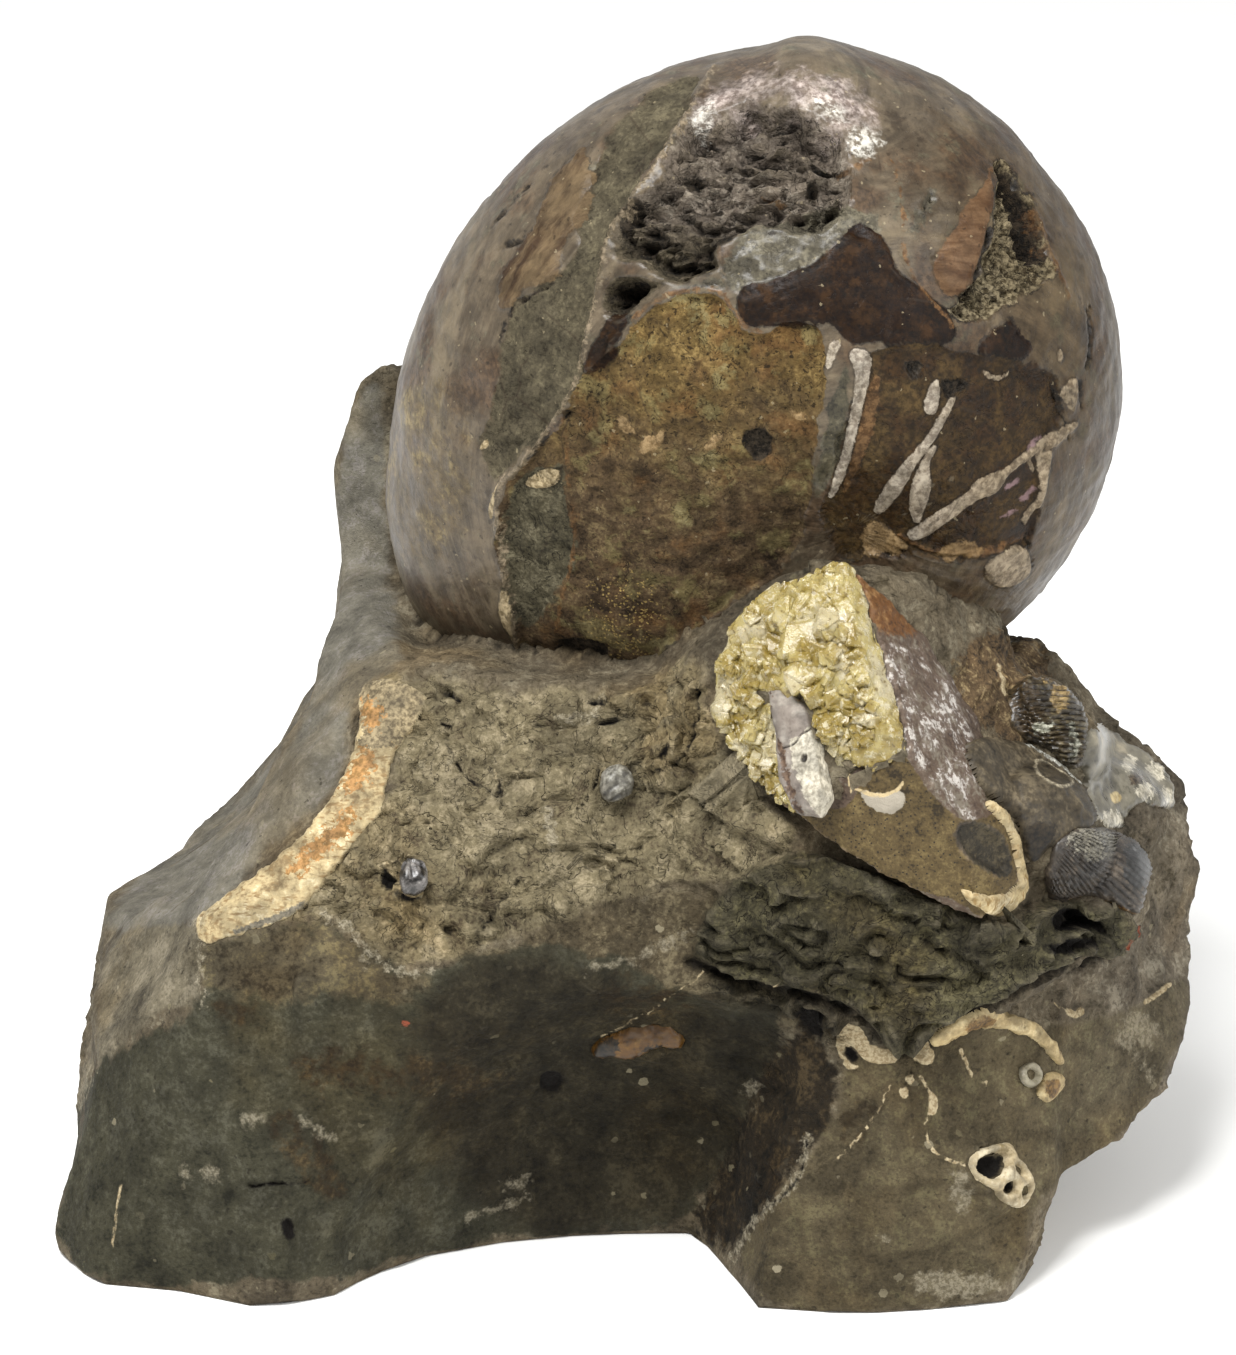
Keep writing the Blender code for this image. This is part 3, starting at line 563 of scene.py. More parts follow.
# What shows on the shell's side, in frame pixels: areas, and lines with their half-widths.
conchMarks = {
    "honey": [
        "654,302 676,294 705,290 721,294 733,314 747,333 761,333 783,322 811,322 825,331 825,373 820,415"
        " 814,448 811,490 806,533 783,572 747,597 713,617 676,642 651,667 620,684 592,687 564,684 536,679"
        " 518,659 514,631 500,575 495,533 498,488 516,474 545,443 561,418 584,384 603,364 618,345 632,322",
    ],
    "hollow": [
        "614,231 619,213 630,199 646,189 662,167 676,140 678,124 692,111 708,118 729,109 761,101 801,106"
        " 826,120 844,138 850,162 855,175 852,199 847,215 826,234 796,231 772,226 753,223 737,234 716,248"
        " 721,272 694,280 673,282 651,272 627,264 614,258",
        "603,282 619,277 645,276 668,284 651,296 641,306 627,314 609,317 601,301",
    ],
    "pits": [
        "625,253 640,225 655,221 668,242 641,256",
        "668,269 700,247 737,223 748,221 732,242 702,252 680,272", "764,234 777,226 788,234",
        "801,190 812,167 823,189 812,198", "674,175 694,168 704,178 684,184",
        "617,231 619,210 633,197 641,197 630,221 619,242",
        "606,288 625,280 648,281 640,300 624,308 608,304", ("813,160 830,167 845,171", 4),
        ("690,135 705,128 715,133", 3), ("684,203 700,208 716,205", 3),
        ("722,160 735,156 752,160", 3),
    ],
    "lilac": [
        "694,118 706,96 740,80 790,74 835,84 872,100 884,122 852,126 842,134 826,119 801,104 761,99"
        " 729,107 708,118",
    ],
    # painted glints on the rim of the hollow
    "paintedGlints": [
        "849,139 856,128 871,129 883,139 876,152 861,161 851,149",
        "690,122 700,108 716,100 714,112 702,122", "806,104 822,98 842,110 846,122 828,116",
    ],
    "stone": [
        "706,72 690,104 668,140 648,175 628,198 611,224 601,253 596,288 588,320 580,358 572,392 552,424"
        " 530,450 510,474 494,484 484,470 482,430 496,395 500,341 513,305 549,282 566,270 574,240 590,190"
        " 600,150 625,112 660,86",
    ],
    "flake": [
        "500,309 513,303 524,287 536,284 549,280 559,276 564,262 570,240 580,215 590,190 594,165 586,140"
        " 560,165 540,200 524,240 505,265 500,290",
    ],
    "seam": [
        (
            "713,66 702,89 684,119 668,146 651,175 630,199 611,226 603,253 598,288 590,320 583,355 575,384"
            " 561,409 536,446 516,471 499,482 495,513 500,561 514,631 518,653",
            2.2,
        ),
    ],
    "darkBrown": [
        "748,328 737,305 742,288 780,280 817,262 838,232 861,218 883,246 904,268 932,296 951,315 957,333"
        " 945,341 914,350 873,343 842,334 800,322 770,328",
        "971,345 1000,318 1016,324 1034,341 1034,351 1016,367 1004,376 987,369 979,359",
        "600,330 612,318 628,318 618,345 605,362 590,372 592,350",
    ],
    "chamber": [
        "866,345 960,350 1052,366 1064,395 1060,425 1042,470 1038,520 1030,542 990,557 930,562 880,558"
        " 842,556 816,530 830,470 850,400",
        "880,352 945,353 932,432 919,447 895,473 871,512 848,548 832,552 850,500 866,440 876,390",
        "975,372 1051,372 1049,402 1028,440 1008,465 984,474 966,492 932,520 930,503 934,486 932,466"
        " 942,446 960,402",
        "973,510 997,499 1020,486 1025,500 1021,525 1027,536 986,553 969,543 930,555 921,551 947,532",
    ],
    "cream": [
        "847,354 855,345 875,354 871,380 862,417 852,460 845,482 834,503 827,501 830,486 841,460 849,417"
        " 855,382 852,365",
        "930,386 940,376 943,393 939,417 924,416 925,402",
        "953,397 962,397 936,445 919,464 901,497 882,519 871,516 875,503 895,473 919,447 932,432 943,410",
        "939,447 938,454 930,464 933,486 930,503 923,516 921,527 914,529 908,514 908,499 912,482 921,464"
        " 927,451 934,445",
        "1077,419 1081,425 1060,445 1034,458 1010,477 1001,497 984,501 966,514 945,529 919,547 901,538"
        " 921,525 945,510 969,495 979,480 1005,471 1025,454 1051,432",
        "1036,454 1055,447 1049,469 1045,499 1032,521 1029,529 1022,523 1025,516 1036,501 1040,482"
        " 1038,464",
        "1027,460 1034,460 1038,473 1034,476", "516,488 531,474 550,468 561,474 553,490 533,492",
        "486,519 488,502 500,476 497,493 494,521", "500,580 514,611 515,650 505,628 498,617",
        "482,434 488,448 477,453", "830,339 844,340 837,354 831,371 824,368 827,352",
        "979,361 989,372 1004,376 1016,367 1012,376 1002,382 988,380",
        "1057,346 1065,350 1064,364 1058,362",
        "997,553 1019,545 1029,549 1032,566 1029,579 1005,590 986,582 982,564",
        "1058,389 1081,371 1077,417 1066,406",
    ],
    "pinkSpots": [
        "634,448 648,436 665,433 662,448 643,457", "699,454 713,437 724,437 713,451 704,458",
        "612,420 622,418 634,430 626,440", "789,406 794,415 811,415 810,420 793,422",
        "934,555 966,542 975,545 987,552 975,558 945,562",
        "871,521 893,534 901,545 910,553 867,560 860,542",
    ],
    "orange": [
        "873,373 882,384 873,438 856,478 840,508 846,480 860,428",
        ("561,420 567,499 573,533 570,561 559,603 553,636", 1.6),
        ("632,320 654,300 676,292 705,288 722,292 735,312 748,331 761,334", 2.4),
        ("842,171 855,168 868,159", 3), ("759,191 772,193 786,203", 2.5),
        ("899,538 919,549 932,555 986,554 1019,540 1029,536", 1.8),
        ("1034,210 1045,235 1053,261 1069,298", 2.2), ("893,161 905,210 902,263 953,327", 1.2),
    ],
    "greyStrip": [
        "843,356 836,385 826,430 820,460 812,490 826,500 838,468 847,428 852,390 850,366",
        "498,490 560,462 567,500 570,560 556,603 520,645 505,600 502,575",
    ],
    "darkPit": [
        "741,436 758,428 775,440 773,456 760,468 746,456",
        "553,639 603,645 609,664 648,673 648,684 598,681 553,673", "942,378 971,380 963,394 947,400",
        "902,361 926,361 916,386", "502,244 513,239 525,239 518,246 506,248",
        ("993,227 981,259 977,284 963,298", 3), ("1088,309 1092,340 1088,366", 2.5),
        ("1056,386 1062,405 1070,440", 2), ("1080,382 1082,406", 1.5),
        ("566,412 556,425 541,443 528,458", 2), ("500,341 504,319 518,303 552,284", 1.6),
        ("491,228 510,205 531,184", 1), ("1027,534 1033,566", 1.2),
    ],
    "gash": [
        "996,157 1016,176 1026,198 1036,210 1051,259 1055,280 1028,296 1012,303 963,329 945,310 959,300"
        " 977,286 985,250 993,222 997,188",
    ],
    "gashDark": [
        "996,157 1016,176 1026,198 1036,210 1051,259 1042,264 1028,261 1018,247 1018,222 1016,210 1002,188",
    ],
    "silk": ["981,186 993,161 996,186 991,222 983,255 971,284 951,300 936,284 934,259 951,235 971,198"],
    "pink": [
        "1006,488 1024,478 1022,484 1010,491", "1022,502 1036,485 1038,492 1028,503",
        "1000,522 1012,513 1022,511 1012,517", "1028,450 1040,436 1044,438 1032,450",
    ],
    "mottled": ["386,460 392,400 425,380 455,395 468,440 470,520 440,560 400,560 384,520"],
    "goldGlintPatch": ["592,590 630,575 660,590 662,640 630,662 600,650 585,620"],
    "rubble": [
        "728,246 758,222 800,212 850,200 880,214 878,240 840,240 820,268 780,290 745,300 722,280",
        "905,232 930,186 942,194 924,220 912,236",
        "600,320 640,312 690,285 722,272 730,292 690,290 650,300 625,325 606,350 592,370",
    ],
}


def radiusAt(degrees):  # a smooth closed curve through the radii
    table = conch["radii"]
    count = len(table)
    degrees = degrees % 360
    found = max(i for i in range(count) if table[i][0] <= degrees)
    angles = [table[(found + k) % count][0] + 360 * ((found + k) // count) for k in (-1, 0, 1, 2)]
    sizes = [table[(found + k) % count][1] for k in (-1, 0, 1, 2)]
    span = angles[2] - angles[1]
    share = (degrees - angles[1]) / span
    slopeIn = (sizes[2] - sizes[0]) / (angles[2] - angles[0]) * span
    slopeOut = (sizes[3] - sizes[1]) / (angles[3] - angles[1]) * span
    square, cube = share ** 2, share ** 3
    return (
        (2 * cube - 3 * square + 1) * sizes[1] + (cube - 2 * square + share) * slopeIn
        + (3 * square - 2 * cube) * sizes[2] + (cube - square) * slopeOut
    )


def makeConch():
    bpy.ops.object.select_all(action="DESELECT")
    bpy.ops.mesh.primitive_uv_sphere_add(segments=conch["segments"], ring_count=conch["rings"], radius=1)
    piece = bpy.context.object
    piece.name = "ammoniteShell"
    sphere = placesOf(piece) / 1000
    angle = np.degrees(np.arctan2(sphere[:, 1], sphere[:, 0])) % 360
    share = np.arccos(np.clip(sphere[:, 2], -1, 1)) / math.pi
    front = conch["frontShare"]
    across = np.where(share < front, share / front, 1 + (share - front) / (1 - front)) * math.pi / 2
    curve = np.interp(angle, np.arange(0, 361), [radiusAt(a) for a in range(361)])
    lipAt, spread, lip = conch["lip"]
    side = np.where(angle > lipAt, 1, 1.7)
    radius = curve + lip * np.exp(-(((angle - lipAt) / (spread * 0.6 * side)) ** 2)) * np.sin(across) ** 6
    sink, width = conch["navel"]
    navel = np.exp(-((across / width) ** 2)) - np.exp(-(((math.pi - across) / width) ** 2))
    reach = radius * np.sin(across) ** conch["roundness"]
    turn = np.radians(angle)
    dip = math.radians(conch["dip"])
    axis = np.array((0, -math.cos(dip), -math.sin(dip)))
    up = np.array((0, -math.sin(dip), math.cos(dip)))
    height = conch["halfWidth"] * np.cos(across) - sink * navel
    places = np.array(conch["centre"]) + np.outer(reach * np.cos(turn), (1, 0, 0))
    places += np.outer(reach * np.sin(turn), up) + np.outer(height, axis)
    movePlaces(piece, places)
    editMesh(piece, {"normals_make_consistent": {"inside": False}})
    outward = normalsOf(piece)
    facing = faceFront(piece)
    spots = framePixels(places)
    wideStray, fineStray = rough(places, 6, 4, 61) * 1.5, rough(places, 1.8, 3, 62) * 0.4
    found = {}
    for name, mark in conchMarks.items():
        stray = fineStray if name in conch["fineEdges"] else wideStray
        stray = stray * (0.3 if name in ("cream", "seam", "pink") else 1)
        found[name] = markBy(spots, mark) + stray - farOff * (1 - facing)

    found["cream"] -= 0.15

    def varied(base, *textures):
        return base + sum(amount * texture(places, *settings) for amount, texture, *settings in textures)

    def relief(name, slope, start, *depths):
        return ease(found[name], start, start + slope) * varied(*depths)

    depth = relief("honey", *conch["filling"])
    deeper = np.maximum(depth, relief("hollow", *conch["hollow"]))
    depth = np.where(found["hollow"] > -1, deeper, depth)
    for name, row in conch["relief"].items():
        depth += relief(name, *row)
    polar = np.stack([np.cos(turn) * 60, np.sin(turn) * 60, reach * 0.02], 1)
    growth = rough(polar, 3.5, 4, 5) * (0.25 + 0.75 * np.clip(reach / radius, 0, 1))
    depth += growth * conch["growth"] + varied(0, conch["swells"], conch["smallRelief"])
    peeled = ease(rough(places, 17, 4, 8), 0.12, 0.2) * (1 - facing)
    depth += peeled * conch["peeling"]
    places = places - outward * np.maximum(depth, -conch["tallest"])[:, None]
    movePlaces(piece, insideBox(places))
    arc = ((angle + 90) % 360) / 360
    storeMarks(piece, nearOnly(found) | {"peeled": peeled, "reach": reach, "round": arc, "depth": depth})
    return piece


def conchMaterial():
    material, bench, surface = newMaterial(
        "polishedShell", Coat_Roughness=0.3, Coat_IOR=1.4, Specular_IOR_Level=0.15,
    )
    bench.edges = (0.4, 0.12, 1.5, 0)
    bench.pores = 0.4
    reach, around, deep, peeled = (bench.mark(name) for name in ("reach", "round", "depth", "peeled"))
    ringLine = bench.put("CombineXYZ", {0: reach, 1: bench.times(around, 40.0)}).outputs[0]
    streaks = bench.cloud(1.6, 5, 0.7, ringLine)
    longStreaks = bench.cloud(4.5, 4, 0.6, ringLine, 0.8)
    cloudy = bench.cloud(16, 4, 0.6)
    patchy = bench.patchy = bench.cloud(7, 5, 0.66)
    finer = bench.finer = bench.cloud(1.1, 4, 0.65)
    across, _, height = bench.axes()

    # the outer shell, grey brown and polished, with the streaks of its growth
    polished = bench.layers("443b2f", [
        ("5e5343", (streaks, 0.35, 0.65)),
        ("665b49", (longStreaks, 0.5, 0.68)),
        (("32251b", "4f3d2c"), (cloudy, 0.48, 0.64), 0.75),
        (("4a4637", "605c4c"), (patchy, 0.56, 0.66), 0.7),
        ("30261b", (patchy, 0.42, 0.34), 0.6),
    ])

    # the bare filling of the living room, honey coloured and porous above, brown below
    lift = bench.plus(height, bench.times(cloudy, 26.0))
    above = bench.plus(lift, bench.times(patchy, 24.0))
    # painted glints: pale gold grains in the honey filling, a share of them painted as lit
    goldGlint = bench.group(glint, Size=0.34, Amount=0.11)[0]
    honey = bench.layers((0.6, "271e14", "483a29", "62543b"), [
        ((0.75, "342814", "564526", "7a663e"), (above, 152, 200)),
        ((0.8, "2c1b0d", "4c331a", "6d5030"), (bench.cloud(10, 4, 0.6), 0.5, 0.66), 0.55),
        ((0.8, "403822", "665c3c", "7b7250"), (patchy, 0.54, 0.64), 0.7),
        ("2a1f12", (patchy, 0.44, 0.36), 0.6),
        ("1f170c", (bench.cloud(0.8, 2, 0.5), 0.38, 0.32), (lift, 148, 168), 0.85),
        ("9a8450", goldGlint, ("goldGlintPatch", 3.5, 2.0, 3), 0.7),
    ])
    hollow = bench.layers((0.9, "201b13", "423b2d", "645a4a"), [
        # painted shade: darker the deeper the hollow sinks
        ((0.9, "0a0806", "1b1611", "312b22"), (deep, 2.0, 6.5)),
        ((0.8, "373029", "685e54", "91877a"), (bench.plus(height, bench.times(patchy, 12.0)), 184, 194), 0.6),
    ])
    brown = bench.layers("100602", [
        ("201205", (finer, 0.36, 0.64)),
        ("362310", (bench.cloud(4, 5, 0.7), 0.5, 0.64), 0.8),
        (("0c0703", "21150a"), (patchy, 0.5, 0.66)),
    ])
    room = bench.over(("1f1509", "342412"), ("2f2413", "473820"), (patchy, 0.4, 0.6))
    cream = bench.layers(("665c4f", "958b7b"), [
        (("7b7165", "a79e8f"), (patchy, 0.45, 0.6)),
        (("6d5f45", "a39374"), (across, -2, -6)),
    ])
    # painted glints: near white spots on the rim of the hollow, made less rough there too
    paintedGlints = bench.times(("paintedGlints", 1.2, 0.9), (finer, 0.34, 0.52, 0.15, 0.8))
    toRight = bench.between(bench.plus(across, bench.times(cloudy, 30.0)), 55, 85)
    steps, cracksAndStepShade = bench.group(broken, Size=3.5, Levels=5.0)
    colour = bench.layers(polished, [
        ((1.1, "352a1a", "574930", "7c6d49"), ("mottled", 2.5, 1.6, 4), (patchy, 0.4, 0.56, 0.15, 0.8)),
        ((0.9, "332d23", "524b3d", "696251"), peeled),
        ((0.7, "2f2a20", "464032", "5a5341"), ("stone", 0.8, 0.5, 2, 0.15)),
        (bench.over("35271a", "61513b", (streaks, 0.35, 0.6)), ("flake", 0.7, 0.2, 2, 0.6)),
        (bench.over("48321f", "6d5640", (streaks, 0.35, 0.65)), ("silk", 0.5, 0.2, 2, 0.5)),
        (honey, ("honey", 0.5, 0.15, 1.5, 0.35)),
        (hollow, ("hollow", 0.8, 0.3, 2, 0.4)),
        ((0.7, "2a261e", "4c473b", "666050"), ("rubble", 1.4, 0.5)),
        (brown, ("darkBrown", 0.5, 0.15, 1.5, 0.8)),
        (room, ("chamber", 0.6, 0.2, 1.5, 0.7)),
        (("6a5d56", "a89b93"), ("lilac", 2.5, 2.2, 3), (patchy, 0.4, 0.6, 0.5, 1.0)),
        (("3f3829", "8d8570"), ("gash", 0.6, 0.15, 1.5, 0.9)),
        ((0.7, "26231a", "454031", "5e5846"), ("greyStrip", 0.6, 0.3)),
        # near black in the pits, the gash's dark side and the dark pits and cracks: partly cracks, partly
        # painted shade in pockets and below the flake
        *((("14110d", "332c23"), (name, 0.5, 0.3)) for name in ("pits", "gashDark", "darkPit")),
        (("46301a", "6d5235"), ("orange", 0.5, 0.2, 1), (patchy, 0.36, 0.56, 0.15, 0.9)),
        (("4b4233", "837560"), ("seam", 0.7, 0.25, 1.2), 0.85),
        (("6a5538", "917a58"), ("pinkSpots", 0.6, 0.25), 0.8),
        (cream, ("cream", 0.2, 0.12, 1.0, 0.5)),
        ("8d7883", ("pink", 0.5, 0.25), 0.85),
        (("827c72", "d6d2c7"), paintedGlints),
        ((0.64, 0.57, 0.46, 1), toRight, 0.9),
        # near black along the drops of the hollow's scales, stronger deeper down: cracks, and painted shade
        # below the steps
        ("0e0b08", cracksAndStepShade, (deep, 0.4, 1.6, 0.06, 0.7)),
    ])

    # soil, specks, wear, painted shade in the hollows, and hairlines over everything
    edges, hollowShade = bench.group(edgeWearAndHollowShade, Start=0.53, End=0.62)
    hairs = bench.cells(13, "DISTANCE_TO_EDGE", bench.stretched((1, 1, 0.6)))["Distance"]
    colour = bench.layers(bench.soiled(colour, (bench.cloud(5, 6, 0.7, None, 0.4), 0.34, 0.66, 0.68, 1.22)), [
        ("17120c", bench.group(flecks, Size=1.3, Amount=0.12)[0], 0.5),
        ("9a8d70", bench.group(flecks, Size=1.0, Amount=0.05)[0], 0.4),
        ("857a66", edges, 0.22),
        ("0f0c08", hollowShade, 0.8),
        ("2b221a", (hairs, 0.02, 0.0), (cloudy, 0.5, 0.6, 0.0, 0.5)),
    ])

    matt = bench.most(peeled, *bench.within("honey", "hollow", "stone", "gash"))
    bare = bench.most(matt, *bench.within("darkBrown", "chamber", "cream", "flake", "silk"))
    roughness = bench.plus((matt, 0, 1, 0.4, 0.78), (patchy, 0.4, 0.6, -0.06, 0.08))
    roughness = bench.plus(bench.minus(roughness, bench.times(paintedGlints, 0.4)), (bare, 0, 1, 0.0, 0.1))
    relief = bench.plus(
        bench.times(finer, (matt, 0, 1, 0.15, 1.0)), bench.times(streaks, 0.3),
        bench.times(steps, (deep, 0.4, 2.0, 0.1, 1.2)),
    )
    coat = bench.times((bare, 0, 1, 0.28, 0.0), (toRight, 0, 1, 1.0, 0.5))
    finishSurface(bench, surface, colour, roughness, relief, 0.6, 0.75, coat)
    return material


conchPiece = makeConch()
settle(conchPiece, conchMaterial(), ["ammonite"])


# The broken piece of another shell.

fragment = {"voxel": 0.55, "smoothing": 4}
fragmentMarks = {
    "whiteFlecks": ["872,640 900,640 940,668 968,720 978,770 972,822 950,800 926,770 900,735 876,680"],
    "orangeTop": ["844,556 892,590 922,630 900,640 870,625 850,590"],
    "ochre": [
        "758,786 792,800 835,812 858,800 866,740 896,742 928,790 955,818 975,822 1012,806 1022,850"
        " 1024,890 986,924 956,898 912,891 874,872 837,850 792,827",
    ],
    "ochrePit": ["952,832 962,820 985,822 1004,836 1014,862 1010,880 985,872 960,852"],
    "greyFlake": ["857,788 880,796 903,788 906,806 890,816 866,806"],
    "thinLine": [
        ("852,792 848,775 854,758 868,744 886,738", 1.4), ("857,789 878,797 898,790 903,782", 1.6),
    ],
}


def makeFragment():
    piece = copyOf("shellFragment", "shell_fragment")
    evenMesh(piece, fragment["voxel"], fragment["smoothing"])
    places, outward = placesOf(piece), normalsOf(piece)
    facing = faceFront(piece)
    spots = framePixels(places)
    found = {name: markBy(spots, mark) - farOff * (1 - facing) for name, mark in fragmentMarks.items()}
    depth = rough(places, 6, 4, 11) * 0.5 + rough(places, 1.6, 3, 12) * 0.22
    depth += ease(found["ochrePit"], 0, 1.5) * 1.6 - ease(found["thinLine"], -0.1, 0.2) * 0.3
    depth -= ease(found["greyFlake"], 0, 0.5) * 0.4
    movePlaces(piece, places - outward * depth[:, None])
    storeMarks(piece, nearOnly(found))
    return piece


def fragmentMaterial():
    material, bench, surface = newMaterial("brownShell", Specular_IOR_Level=0.25)
    bench.edges = (0.5, 0.15, 1.2, 0)
    finer = bench.cloud(0.8, 4, 0.65)
    patchy = bench.cloud(4.5, 5, 0.7, bench.stretched((1, 1, 0.7), (0, 0.5, 0)), 0.5)
    chalk = bench.cloud(1.3, 4, 0.7)
    white = bench.times((patchy, 0.47, 0.57), (chalk, 0.46, 0.56), ("whiteFlecks", 2.5, 1.5, 3))
    haze = bench.times((patchy, 0.4, 0.6, 0.0, 0.4), ("whiteFlecks", 2.5, 1.5, 3))
    pitted = (bench.cells(0.9)["Distance"], 0.22, 0.15)
    ochre = bench.over((0.6, "281f0f", "4f4126", "675837"), "1f1a12", pitted)
    edges = bench.group(edgeWearAndHollowShade, Start=0.53, End=0.62)[0]
    colour = bench.layers((0.8, "2d211a", "4f4135", "6a6255"), [
        ((1.0, "33200f", "5c3c1e", "7d5e3a"), ("orangeTop", 1.5, 0.8, 3)),
        ("6f625a", haze),
        ("b0aaa2", white),
        (ochre, ("ochre", 0.3, 0.15)),
        ((0.7, "100d08", "2c271d", "48402f"), ("ochrePit", 0.5, 0.3)),
        ("999182", ("greyFlake", 0.3, 0.15)),
        ("b3a07a", ("thinLine", 0.15, 0.1)),
        ("b09a84", edges, 0.4),
    ])
    finishSurface(bench, surface, colour, (white, 0, 1, 0.6, 0.3), finer, 0.5, 0.8)
    return material


fragmentPiece = makeFragment()
settle(fragmentPiece, fragmentMaterial(), ["shell_fragment"])


# Calcite on its left face.

calcite = {
    "crustVoxel": 0.6,
    "smoothing": 3,
    "crystals": 560,
    "size": (0.7, 3.3),  # half the length of the smallest and the largest crystal
    "outline": (
        "822,560 842,566 848,612 866,676 876,712 872,738 852,752 836,772 819,738 806,702 802,692 765,688"
        " 762,700 788,760 808,800 790,812 762,786 740,762 726,742 712,716 728,694 715,665 717,640 743,610"
        " 781,588"
    ),
}


def makeCrystal():  # one rhomb with worn edges
    bpy.ops.object.select_all(action="DESELECT")
    bpy.ops.mesh.primitive_cube_add(size=0.002)
    crystal = bpy.context.object
    editMesh(crystal, {"bevel": {"offset": 0.00022, "segments": 1}})
    places = placesOf(crystal)
    places[:, 0] += places[:, 2] * 0.26 + places[:, 1] * 0.22
    movePlaces(crystal, places)
    return crystal


def makeCalcite():
    crust = copyOf("calciteCrystals", "calcite_crystals")
    under = copyOf("underCrystals", "calcite_crystals", "shell_fragment")
    tree = treeOf(under)
    bpy.data.objects.remove(under)
    evenMesh(crust, calcite["crustVoxel"], calcite["smoothing"])
    places = placesOf(crust)
    places -= normalsOf(crust) * (0.1 + rough(places, 2.2, 4, 21) * 0.5)[:, None]
    movePlaces(crust, places)
    crustTree = treeOf(crust)
    model = makeCrystal()
    pieces = [crust]
    outline = cornersOf(calcite["outline"])
    low, high = outline.min(0), outline.max(0)
    small, large = calcite["size"]
    while len(pieces) <= calcite["crystals"]:
        pixel = (random.uniform(low[0], high[0]), random.uniform(low[1], high[1]))
        if insideBy(np.array([pixel]), calcite["outline"])[0] < 0.4:
            continue
        start, way = sightLine(pixel)
        hit, outward, _, _ = tree.ray_cast(start, way)
        if hit is None:
            continue
        middle = 1 - min(1, math.hypot(pixel[0] - 795, (pixel[1] - 640) * 0.8) / 75)
        size = small + (large - small) * random.random() ** 2 * (0.15 + 0.85 * middle)
        lean = Matrix.Rotation(random.uniform(-0.7, 0.7), 4, "X")
        lean = lean @ Matrix.Rotation(random.uniform(-0.7, 0.7), 4, "Y")
        turn = Matrix.Rotation(random.uniform(0, 6.3), 4, "Z")
        shape = Matrix.Diagonal((size * random.uniform(0.8, 1.3), size, size * random.uniform(0.7, 1.1), 1))
        stand = Vector(outward).to_track_quat("Z", "Y").to_matrix().to_4x4()
        spot = Matrix.Translation((hit - outward * size * 0.35) / 1000)
        one = bpy.data.objects.new("crystal", model.data.copy())
        one.data.transform(spot @ stand @ lean @ turn @ shape)
        scene.collection.objects.link(one)
        pieces.append(one)
    bpy.data.objects.remove(model)
    onlySelect(*pieces)
    bpy.ops.object.join()
    return crust, crustTree


def calciteMaterial():
    material, bench, surface = newMaterial("calcite", IOR=1.55, Transmission_Weight=0.5)
    finer = bench.cloud(1.3, 4, 0.65)
    hollowShade = bench.group(edgeWearAndHollowShade, Start=0.54, End=0.62)[1]
    colour = bench.layers("a38c42", [
        ("cebd7d", (bench.cloud(4.5, 4, 0.6), 0.38, 0.62)),
        ("e3d8b4", (finer, 0.53, 0.66)),
        ("dcd0ac", (bench.cloud(7, 3, 0.6), 0.54, 0.62), 0.75),
        ("7a6328", (finer, 0.42, 0.32), 0.8),
        # painted shade: darker in the hollows between the crystals
        ("554320", hollowShade, 0.7),
    ])
    height = bench.plus(finer, bench.times(bench.cloud(0.4, 2), 0.5))
    finishSurface(bench, surface, colour, (finer, 0.35, 0.7, 0.12, 0.35), height, 0.3, 0.7)
    return material


calcitePiece, crustTree = makeCalcite()
settle(calcitePiece, calciteMaterial(), ["calcite_crystals"], 20)


